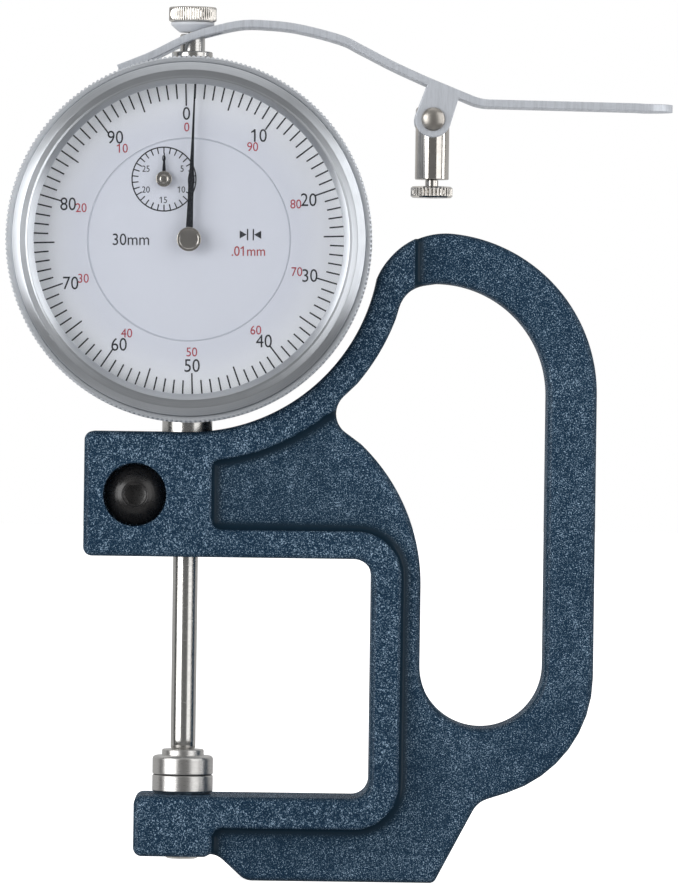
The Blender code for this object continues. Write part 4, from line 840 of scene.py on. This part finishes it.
# Under the lever: its post and the screw on it
postAxis = np.array([middleOf("lever_post")[0], 0.0, gaugePoint[2]])
thumbKnob = dict(
    name="thumbKnob", node="thumb_screw", body="thumb_screw", slot="nickel", columns=352,
    ripple=knurl(teeth=32, depth=0.3, low=92.8, high=94.2, fade=0.3, least=3),
    stations=[(0.95, 95.4), (1.05, 95.4, 0.05), (1.05, 94.4, 0.1), (3.05, 94.4, 0.1), (3.35, 94.15),
              *rimStations(3.35, 94, 93, 4), (3.35, 92.85), (3.05, 92.6, 0.1), (0.95, 92.6),
              (0.95, 95.4)])
leverPost = dict(
    name="leverPost", node="lever_post", body="gauge_frame", slot="nickel",
    stations=[(0, 107.1), (2.7, 107.1, 0.6), (2.7, 95.5, 0.15), (0.8, 95.5, 0.1), (0.8, 92.9), (0, 92.9)])
for piece in (thumbKnob, leverPost):
    makeTurned(**piece, centre=postAxis, facing="up")

# Clamp screw: domed button head with two soft rings, a hexagon socket and the socket's bevelled mouth
clampScrew = dict(
    name="clampScrew", node="clamp_screw", body="gauge_frame", slot="black_oxide", columns=144,
    centre=clampAxis, sharp=30,
    stations=[(0, 7.8), (1.87, 7.8, 0.05), (1.98, 7.68, 0.05), (2.1, 7.75, 0.05), (2.7, 7.5, 0.6),
              (3.2, 7.15, 0.8), (4, 6.5, 1), (4.75, 5.7, 0.4), (4.75, 5.2, 0.1), (2.5, 5.2),
              (2.5, -3.7, 0.3), (0, -3.7)],
    cutters=[cutterMesh([(0, 5.8), (1.73, 6.2), (1.73, 8.8), (0, 8.8)], 6, clampAxis),
             cutterMesh([(0, 7.66), (1.52, 7.66), (1.86, 7.82), (1.86, 8.8), (0, 8.8)],
                        96, clampAxis)])
makeTurned(**clampScrew)
print("turned pieces made")


# A pointer: half widths at distances from the axis, mirrored, then an arc round the far side of the hub,
# whose ends are in half turns. It leans clockwise, in degrees
pointerStyle = dict(rows=60, arcStart=0.92, arcEnd=2.08, arcStep=0.128, rounding=0.04)


def makePointer(name, node, low, high, hub, lean, centre, widths, s=pointerStyle):
    distance = np.linspace(widths[0][1], widths[-1][1], s["rows"])
    half = np.interp(distance, [w[1] for w in widths], [w[0] for w in widths])
    ring = arcPoints((0, 0, hub), pi * s["arcStart"], pi * s["arcEnd"], hub * s["arcStep"])
    outline = np.vstack([np.stack([half, distance], -1), np.stack([-half, distance], -1)[::-1], ring])
    upright, aside = cos(radians(lean)), sin(radians(lean))

    def place(p):
        across, along = p[:, 0] * upright + p[:, 1] * aside, p[:, 1] * upright - p[:, 0] * aside
        return np.stack([across, -p[:, 2], along], -1)

    mesh = tidyMesh(flatMesh(name, outline, low, high, s["rounding"], place, centre))
    addPiece(name, mesh, node, "black_lacquer", node)


mainPointer = dict(
    name="mainPointer", node="main_hand", low=11.5, high=11.8, hub=1.85, lean=1.44, centre=dialCentre,
    widths=[(0.55, 1.9), (0.45, 6), (0.45, 8.4), (0.56, 9.4), (0.52, 9.8),
            (0.34, 11), (0.2, 16), (0.1, 24.6)])
mainHub = dict(
    name="mainHub", node="hand_hub", body="main_hand", slot="nickel",
    stations=[(0, 12.32), (1.45, 12.32, 0.1), (1.55, 12.4, 0.06), (1.91, 12.4, 0.1), (1.95, 12.1, 0.05),
              (0, 12.1)])
counterPointer = dict(
    name="counterPointer", node="counter_hand", low=10.6, high=10.8, hub=1.2, lean=0,
    centre=counterCentre, widths=[(0.3, 1.2), (0.22, 2.2), (0.08, 4.1)])
counterCap = dict(
    name="counterCap", node="counter_hub", body="counter_hand", slot="nickel", columns=72,
    centre=counterCentre,
    stations=[(0, 11.27), (0.5, 11.27, 0.03), (0.6, 11.2, 0.05), (0.7, 11.3, 0.05), (1.25, 11.3, 0.1),
              (1.3, 10.95, 0.03), (0, 10.95)])
for pointer, hub in ((mainPointer, mainHub), (counterPointer, counterCap)):
    makePointer(**pointer)
    makeTurned(**hub)

# Print, measured from the dial's centre, with turns and leans in degrees. The outer scale is turned a
# little, as the bezel stands in the photo, and each of its numbers leans a little from its place
prints = dict(front=10.1, thick=0.03, outerTurn=1.96, innerTurn=0.82, tickEdge=25.5, tickHalf=0.115,
              minor=22.3, five=21.3, ten=21.15, blackRadius=19.95, blackSize=2.05, redRadius=17.8,
              redSize=1.43, circle=15.96, circleHalf=0.05, counterRadius=5.05, counterTick=1,
              counterTickHalf=0.09, counterLine=0.1, counterNumbers=3.3, counterSize=1, narrow=0.9,
              travel=("30mm", 1.85, -9.2, -0.1), step=(".01mm", 1.55, 9.4, -1.7),
              sign=(9.7, 0.9), arrow=((0.6, 0), (1.7, -0.64), (1.7, 0.64)),
              stroke=((0.36, -0.9), (0.56, -0.9), (0.56, 0.9), (0.36, 0.9)),
              lean=(0, -0.4, 0.8, -0.2, 0.8, -0.2, -1.1, -1.0, -0.4, 1.4))


# Upright boxes about (x, z) on the dial: from inner to outer radius along each angle, which is measured
# clockwise from the top
def tickBoxes(angle, inner, outer, half, p, x=0, z=0):
    angle, inner, outer, half = np.broadcast_arrays(angle, inner, outer, half)
    along = np.stack([np.sin(angle), 0 * angle, np.cos(angle)], -1)
    side = np.stack([np.cos(angle), 0 * angle, -np.sin(angle)], -1)
    corners = []
    for height in (p["front"] - p["thick"], p["front"] + p["thick"]):
        for radius, way in ((inner, -1), (inner, 1), (outer, 1), (outer, -1)):
            corners.append(along * radius[:, None] + side * (way * half)[:, None] + (x, -height, z))
    base = (8 * np.arange(len(angle)))[:, None, None]
    return np.stack(corners, 1).reshape(-1, 3), (base + np.array(prismFaces(4))).reshape(-1, 4).tolist()


# Words as thin solid letters, with their middle and height. A 1 gets the slanted stroke that goes down to
# the left from its top; its corners are shares of the height
oneStroke = dict(narrowest=0.22, tallest=0.6, gap=0.015, out=0.24, drops=(0.19, 0.30, 0.17))


def letterShapes(words, s):
    curve = bpy.data.curves.new("letters", "FONT")
    curve.body, curve.resolution_u, curve.extrude = words, 4, 0.02
    thing = newObject("letters", curve)
    mesh = finalMesh(thing)
    points, faces = pointsOf(mesh), [list(face.vertices) for face in mesh.polygons]
    bpy.data.objects.remove(thing)
    bpy.data.meshes.remove(mesh)
    low, high = points.min(0), points.max(0)
    tall = high[1] - low[1]
    # the faces' spans along the word, joined where they overlap, are its letters
    letters = []
    for left, right in sorted((points[face, 0].min(), points[face, 0].max()) for face in faces):
        if letters and left < letters[-1][1] + s["gap"] * tall:
            letters[-1][1] = max(right, letters[-1][1])
        else:
            letters.append([left, right])
    for left, right in letters:
        own = points[(points[:, 0] >= left - 1e-6) & (points[:, 0] <= right + 1e-6)]
        if right - left < s["narrowest"] * tall and np.ptp(own[:, 1]) > s["tallest"] * tall:
            top, inside, outside = own[:, 1].max(), (left + right) / 2, left - s["out"] * tall
            first, second, third = [top - drop * tall for drop in s["drops"]]
            corners = [(inside, top), (outside, first), (outside, second), (inside, third)]
            stroke = [(x, y, h) for h in (points[:, 2].max(), points[:, 2].min()) for x, y in corners]
            faces += [[len(points) + i for i in face] for face in prismFaces(4)]
            points = np.vstack([points, stroke])
    return points, faces, (low + high) / 2, tall


letterStore = {}


# A word of a given height, its middle at x and z from the dial's centre
def wordPiece(words, height, x, z, p):
    if words not in letterStore:
        letterStore[words] = letterShapes(words, oneStroke)
    points, faces, middle, size = letterStore[words]
    scale, turn = height / size, radians(p["innerTurn"])
    flat = (points - middle) * (scale * p["narrow"], scale, 1)
    across = flat[:, 0] * cos(turn) - flat[:, 1] * sin(turn) + x
    up = flat[:, 0] * sin(turn) + flat[:, 1] * cos(turn) + z
    depth = -p["front"] - np.sign(points[:, 2]) * p["thick"]
    return np.stack([across, depth, up], -1), faces


# The same on a circle, at an angle measured clockwise from the top
def wordAround(words, height, radius, angle, p, x=0, z=0):
    return wordPiece(words, height, x + radius * sin(angle), z + radius * cos(angle), p)


def circlePrint(radius, half, p, x=0, z=0):
    low, high = p["front"] - p["thick"], p["front"] + p["thick"]
    profile = [(radius - half, high), (radius + half, high), (radius + half, low), (radius - half, low)]
    points, faces = turnedSurface(ringProfile(profile), 160)
    return points + (x, 0, z), faces


def joinedPrint(name, sets, look, body):
    points, faces, first = [], [], 0
    for some, few in sets:
        points.append(some)
        faces += [[first + i for i in face] for face in few]
        first += len(some)
    mesh = tidyMesh(newMesh(name, np.concatenate(points), faces, dialCentre))
    addPiece(name, mesh, body, "dial_enamel", look=look, weighted=False)


def makePrint(p):
    outerTurn, innerTurn = radians(p["outerTurn"]), radians(p["innerTurn"])
    index = np.arange(100)
    inner = np.where(index % 10 == 0, p["ten"], np.where(index % 5 == 0, p["five"], p["minor"]))
    angle = index * 2 * pi / 100 - outerTurn
    black = [tickBoxes(angle, inner, p["tickEdge"], p["tickHalf"], p)]
    red = []
    for i in range(10):
        way = radians(36 * i + p["lean"][i]) - outerTurn
        black.append(wordAround(str(10 * i), p["blackSize"], p["blackRadius"], way, p))
        red.append(wordAround(str((100 - 10 * i) % 100), p["redSize"], p["redRadius"], way, p))
    joinedPrint("scaleBlack", black, blackPrint, "bezel")
    joinedPrint("scaleRed", red, redPrint, "bezel")
    joinedPrint("splitLine", [circlePrint(p["circle"], p["circleHalf"], p)], greyPrint, "gauge_frame")
    x, z = (counterCentre - dialCentre)[[0, 2]] * 1000
    edge = p["counterRadius"]
    angle = np.arange(30) * 2 * pi / 30 - innerTurn
    marks = [tickBoxes(angle, edge - p["counterTick"], edge, p["counterTickHalf"], p, x, z),
             circlePrint(edge, p["counterLine"], p, x, z)]
    for i in range(6):
        way = i * pi / 3 - innerTurn
        marks.append(wordAround(str(5 * i), p["counterSize"], p["counterNumbers"], way, p, x, z))
    marks.append(wordPiece(*p["travel"], p))
    joinedPrint("discBlack", marks, blackPrint, "gauge_frame")
    # two arrowheads that point at two strokes, the plain sign for a gap that is measured
    signs = []
    for way in (-1, 1):
        for corners in (p["arrow"], p["stroke"]):
            points = [(p["sign"][0] + way * x, h - p["front"], p["sign"][1] + z)
                      for h in (p["thick"], -p["thick"]) for x, z in corners]
            signs.append((points, prismFaces(len(corners))))
    joinedPrint("gapSign", signs, blackPrint, "gauge_frame")
    joinedPrint("discRed", [wordPiece(*p["step"], p)], deepPrint, "gauge_frame")


makePrint(prints)
print("hands and print made")

# Lifting lever, its line and pivot measured from the gauge point; each ear leans by an angle in radians
strip = dict(half=0.6, width=4.5, corner=0.16, bend=8, spacing=2, tongueRows=14, tongueGap=0.2,
             pivotX=38.5, pivotZ=105, ear=2.88, earLean=0.36, earRise=5, earRight=0.8,
             slot=[(-14, -2.4), (4.8, -2.4, 2.2), (4.8, 2.4, 2.2), (-14, 2.4)],
             slotLow=108, slotHigh=125, rivetEnd=4.6, dome=1.9, domeHeight=0.9, domeFoot=0.9,
             line=((-11.7, 112.4), (-6.6, 114.5), (-2.5, 116.6), (-0.5, 117.51), (2.4, 118.49),
                   (7.6, 119.7), (12, 119.75), (17, 119.22), (23.6, 117.6), (27.1, 115.97),
                   (32.2, 113.42), (38, 110.85), (46, 107.68), (76.8, 107.3)))


# Smooth line through the points: a cubic between neighbours, with slopes from the points on both sides
def smoothLine(points, steps):
    p = np.asarray(points, float)
    slope = np.empty_like(p)
    slope[1:-1] = (p[2:] - p[:-2]) / 2
    slope[0], slope[-1] = p[1] - p[0], p[-1] - p[-2]
    t = np.linspace(0, 1, steps, endpoint=False)[None, :, None]
    a, b, m, n = p[:-1, None], p[1:, None], slope[:-1, None], slope[1:, None]
    ends = (2 * t**3 - 3 * t**2 + 1) * a + (3 * t**2 - 2 * t**3) * b
    curve = ends + (t**3 - 2 * t**2 + t) * m + (t**3 - t**2) * n
    return np.vstack([curve.reshape(-1, 2), p[-1:]])


# Middle line of the strip and half its width: sqrt(width ** 2 - past ** 2) on the tongue's round end
def leverLine(s):
    width, (end, level) = s["width"], s["line"][-1]
    curved = smoothLine(s["line"][:-2], steps=8)[:-1]
    bend = softCorners([curved[-1], (*s["line"][-2], s["bend"]), s["line"][-1]], turnStep=0.05)
    line = evenLine(np.vstack([curved, bend[1:]]), s["spacing"], False)
    turn = np.linspace(0, 1, s["tongueRows"]) * pi / 2
    rounded = np.stack([end - width + width * np.sin(turn), 0 * turn + level], -1)
    line = np.vstack([line[line[:, 0] < end - width - s["tongueGap"]], rounded])
    past = np.clip(line[:, 0] - end + width, 0, None)
    return line, np.sqrt(np.maximum(width ** 2 - past ** 2, 1e-4))


# The strip: a rounded rectangle, as wide as the lever at that place, carried along the middle line
def makeStrip(line, width, s):
    side = unit(offsetLine(line, 1.0, False) - line)
    rows = []
    for i, (x, z) in enumerate(((1, 1), (-1, 1), (-1, -1), (1, -1))):
        turn = np.linspace(0, pi / 2, 4) + i * pi / 2
        across = s["corner"] * (np.cos(turn) - x)
        up = s["corner"] * np.sin(turn) + z * (s["half"] - s["corner"])
        y = x * np.clip(width[:, None] + x * across, 0, width[:, None])
        rows.append(np.stack([line[:, :1] + side[:, :1] * up, -y, line[:, 1:] + side[:, 1:] * up], -1))
    points = np.concatenate(rows, 1)
    return tidyMesh(newMesh("leverStrip", points, cappedFaces(len(line), points.shape[1]), gaugePoint))


def makeLever(s):
    line, width = leverLine(s)
    fork = flatMesh("forkSlot", softCorners(s["slot"], closed=True), s["slotLow"], s["slotHigh"], 0.0,
                    lambda p: p, gaugePoint)
    body = combined(makeStrip(line, width, s), [tidyMesh(fork)])
    # each ear is round about the pivot; its straight sides rise square to the strip and end inside it
    lean, rise = s["earLean"], s["earRise"] * tan(s["earLean"])
    leftX = s["pivotX"] - s["ear"] * cos(lean) + rise
    rightX = s["pivotX"] + s["ear"] * cos(lean) + rise * s["earRight"]
    left, right = np.interp([leftX, rightX], line[:, 0], line[:, 1])
    foot = arcPoints((s["pivotX"], s["pivotZ"], s["ear"]), pi - lean, 2 * pi - lean, 0.3)
    outline = softCorners([(rightX, right), (leftX, left)] + foot, closed=True)
    ears = []
    for way in (-1, 1):
        low, high = sorted((way * s["width"], way * (s["width"] - 2 * s["half"])))
        ears.append(tidyMesh(flatMesh("ear", outline, low, high, s["corner"],
                                      lambda p: p[:, [0, 2, 1]] * (1, -1, 1), gaugePoint)))
    addPiece("leverStrip", tidyMesh(combined(body, ears, "UNION"), 35), "lever", "zinc", "lever")
    dome = [(s["dome"] * cos(a), s["rivetEnd"] + s["domeHeight"] * sin(a))
            for a in np.linspace(pi / 2, 0, 12)] + [(s["domeFoot"], s["rivetEnd"])]
    makeTurned("leverRivet", "lever_rivet", "lever", "nickel", dome + [(x, -y) for x, y in dome[::-1]],
               centre=gaugePoint + (s["pivotX"] / 1000, 0, s["pivotZ"] / 1000), look=dullNickel)


makeLever(strip)
print("lever made")

# Solids that keep their own shape get their finish
for entry in frame["record"]["subparts"]:
    thing = frame["nodes"][entry["node"]]
    if not thing.hide_render:
        thing.data.materials.clear()
        thing.data.materials.append(finishes[entry["material_slot"]])

# Floor, light boxes (azimuth, elevation, power, size) and the world, which is grey behind the camera, dark
# at the sides and brighter behind the object and overhead; the camera itself sees white. The floor's half
# is in millimetres, the rest in metres
studio = dict(floorHalf=3000, floorGlow=0.9, white=1.0, rise=0.42, distance=0.85, target=(0.0, 0.0, 0.07),
              stops=((0.0, 0.19), (1.0, 0.55), (0.28, 0.06), (0.52, 0.06), (0.62, 0.55)),
              boxes=(("leftBox", -49, 6, 5.6, (0.70, 0.66)), ("rightBox", 48, 12, 2.5, (0.56, 0.9)),
                     ("rightStrip", 84, 8, 2.2, (0.24, 0.9)), ("topBox", 0, 78, 0.5, (0.8, 0.6))))


def makeFloor(s):
    half = s["floorHalf"]
    corners = [(-half, -half, 0), (half, -half, 0), (half, half, 0), (-half, half, 0)]
    piece = newObject("paleFloor", newMesh("paleFloor", corners, [(0, 1, 2, 3)], (0, 0, 0)))
    material, tree, shader, vector = newFinish("paleFloor", (0.93, 0.93, 0.94), 0.85)
    varyBy(tree, shader, marksIn(tree, vector, 3.0), (0.85, 0.95))
    seen = addNode(tree, "LightPath", {}).outputs["Is Camera Ray"]
    glow = calc(tree, "MULTIPLY", seen, s["floorGlow"])
    feed(tree, shader, {"Specular IOR Level": 0.0, "Emission Color": (1, 1, 1, 1),
                        "Emission Strength": glow})
    piece.data.materials.append(material)
    piece.visible_glossy = False


def makeWorld(s):
    world = bpy.data.worlds.new("studio")
    scene.world = world
    world.use_nodes = True
    tree = world.node_tree
    way = addNode(tree, "TexCoord", {}).outputs["Generated"]
    parts = addNode(tree, "SeparateXYZ", {0: way}).outputs
    shade = rampNode(tree, mapped(tree, parts["Y"], -1.0, 1.0), s["stops"])
    risen = calc(tree, "MULTIPLY_ADD", calc(tree, "POWER", parts["Z"], 2.0), s["rise"], shade)
    seen = addNode(tree, "LightPath", {}).outputs["Is Camera Ray"]
    light = addNode(tree, "Mix", {"Factor": seen, "A": risen, "B": s["white"]}, data_type="FLOAT")
    feed(tree, tree.nodes["Background"], {"Strength": light.outputs[0], "Color": (1, 1, 1, 1)})


def makeLights(s):
    for name, azimuth, elevation, power, size in s["boxes"]:
        lamp = bpy.data.lights.new(name, "AREA")
        lamp.shape, lamp.size, lamp.size_y, lamp.energy = "RECTANGLE", size[0], size[1], power
        holder = newObject(name, lamp)
        a, e = radians(azimuth), radians(elevation)
        away = np.array([sin(a) * cos(e), -cos(a) * cos(e), sin(e)])
        right = unit(np.cross((0, 0, 1), away))
        axes = [right, np.cross(away, right), away, np.array(s["target"]) + away * s["distance"]]
        holder.matrix_world = Matrix(np.vstack([np.stack(axes, 1), [0, 0, 0, 1]]).tolist())


makeFloor(studio)
makeWorld(studio)
makeLights(studio)

# The photo's frame is 678 by 888, and 1 mm in it is "scale" pixels; its object leans a little to the right
# and is seen from 1.1 m
view = dict(roll=0.78, distance=1.1, x=0.01342, z=0.060, scale=6.262, axisX=271.7, axisZ=399.9,
            wide=678, high=888, sensor=36)


def makeCamera(v):
    camera = bpy.data.cameras.new("photoCamera")
    camera.sensor_fit, camera.sensor_width = "AUTO", v["sensor"]
    camera.lens = v["sensor"] * v["distance"] * 1000 * v["scale"] / v["high"]
    camera.shift_x = (v["wide"] / 2 - v["axisX"]) / v["high"]
    camera.shift_y = (v["axisZ"] - v["high"] / 2) / v["high"]
    camera.clip_start, camera.clip_end = 0.05, 20
    holder = newObject("photoCamera", camera)
    c, s = cos(radians(v["roll"])), sin(radians(v["roll"]))
    x, y, z = gaugePoint + (v["x"], -v["distance"], v["z"])
    holder.matrix_world = Matrix(((c, -s, 0, x), (0, 0, -1, y), (s, c, 0, z), (0, 0, 0, 1)))
    scene.camera = holder


makeCamera(view)
scene.view_settings.view_transform = "Standard"
print("studio and camera set")
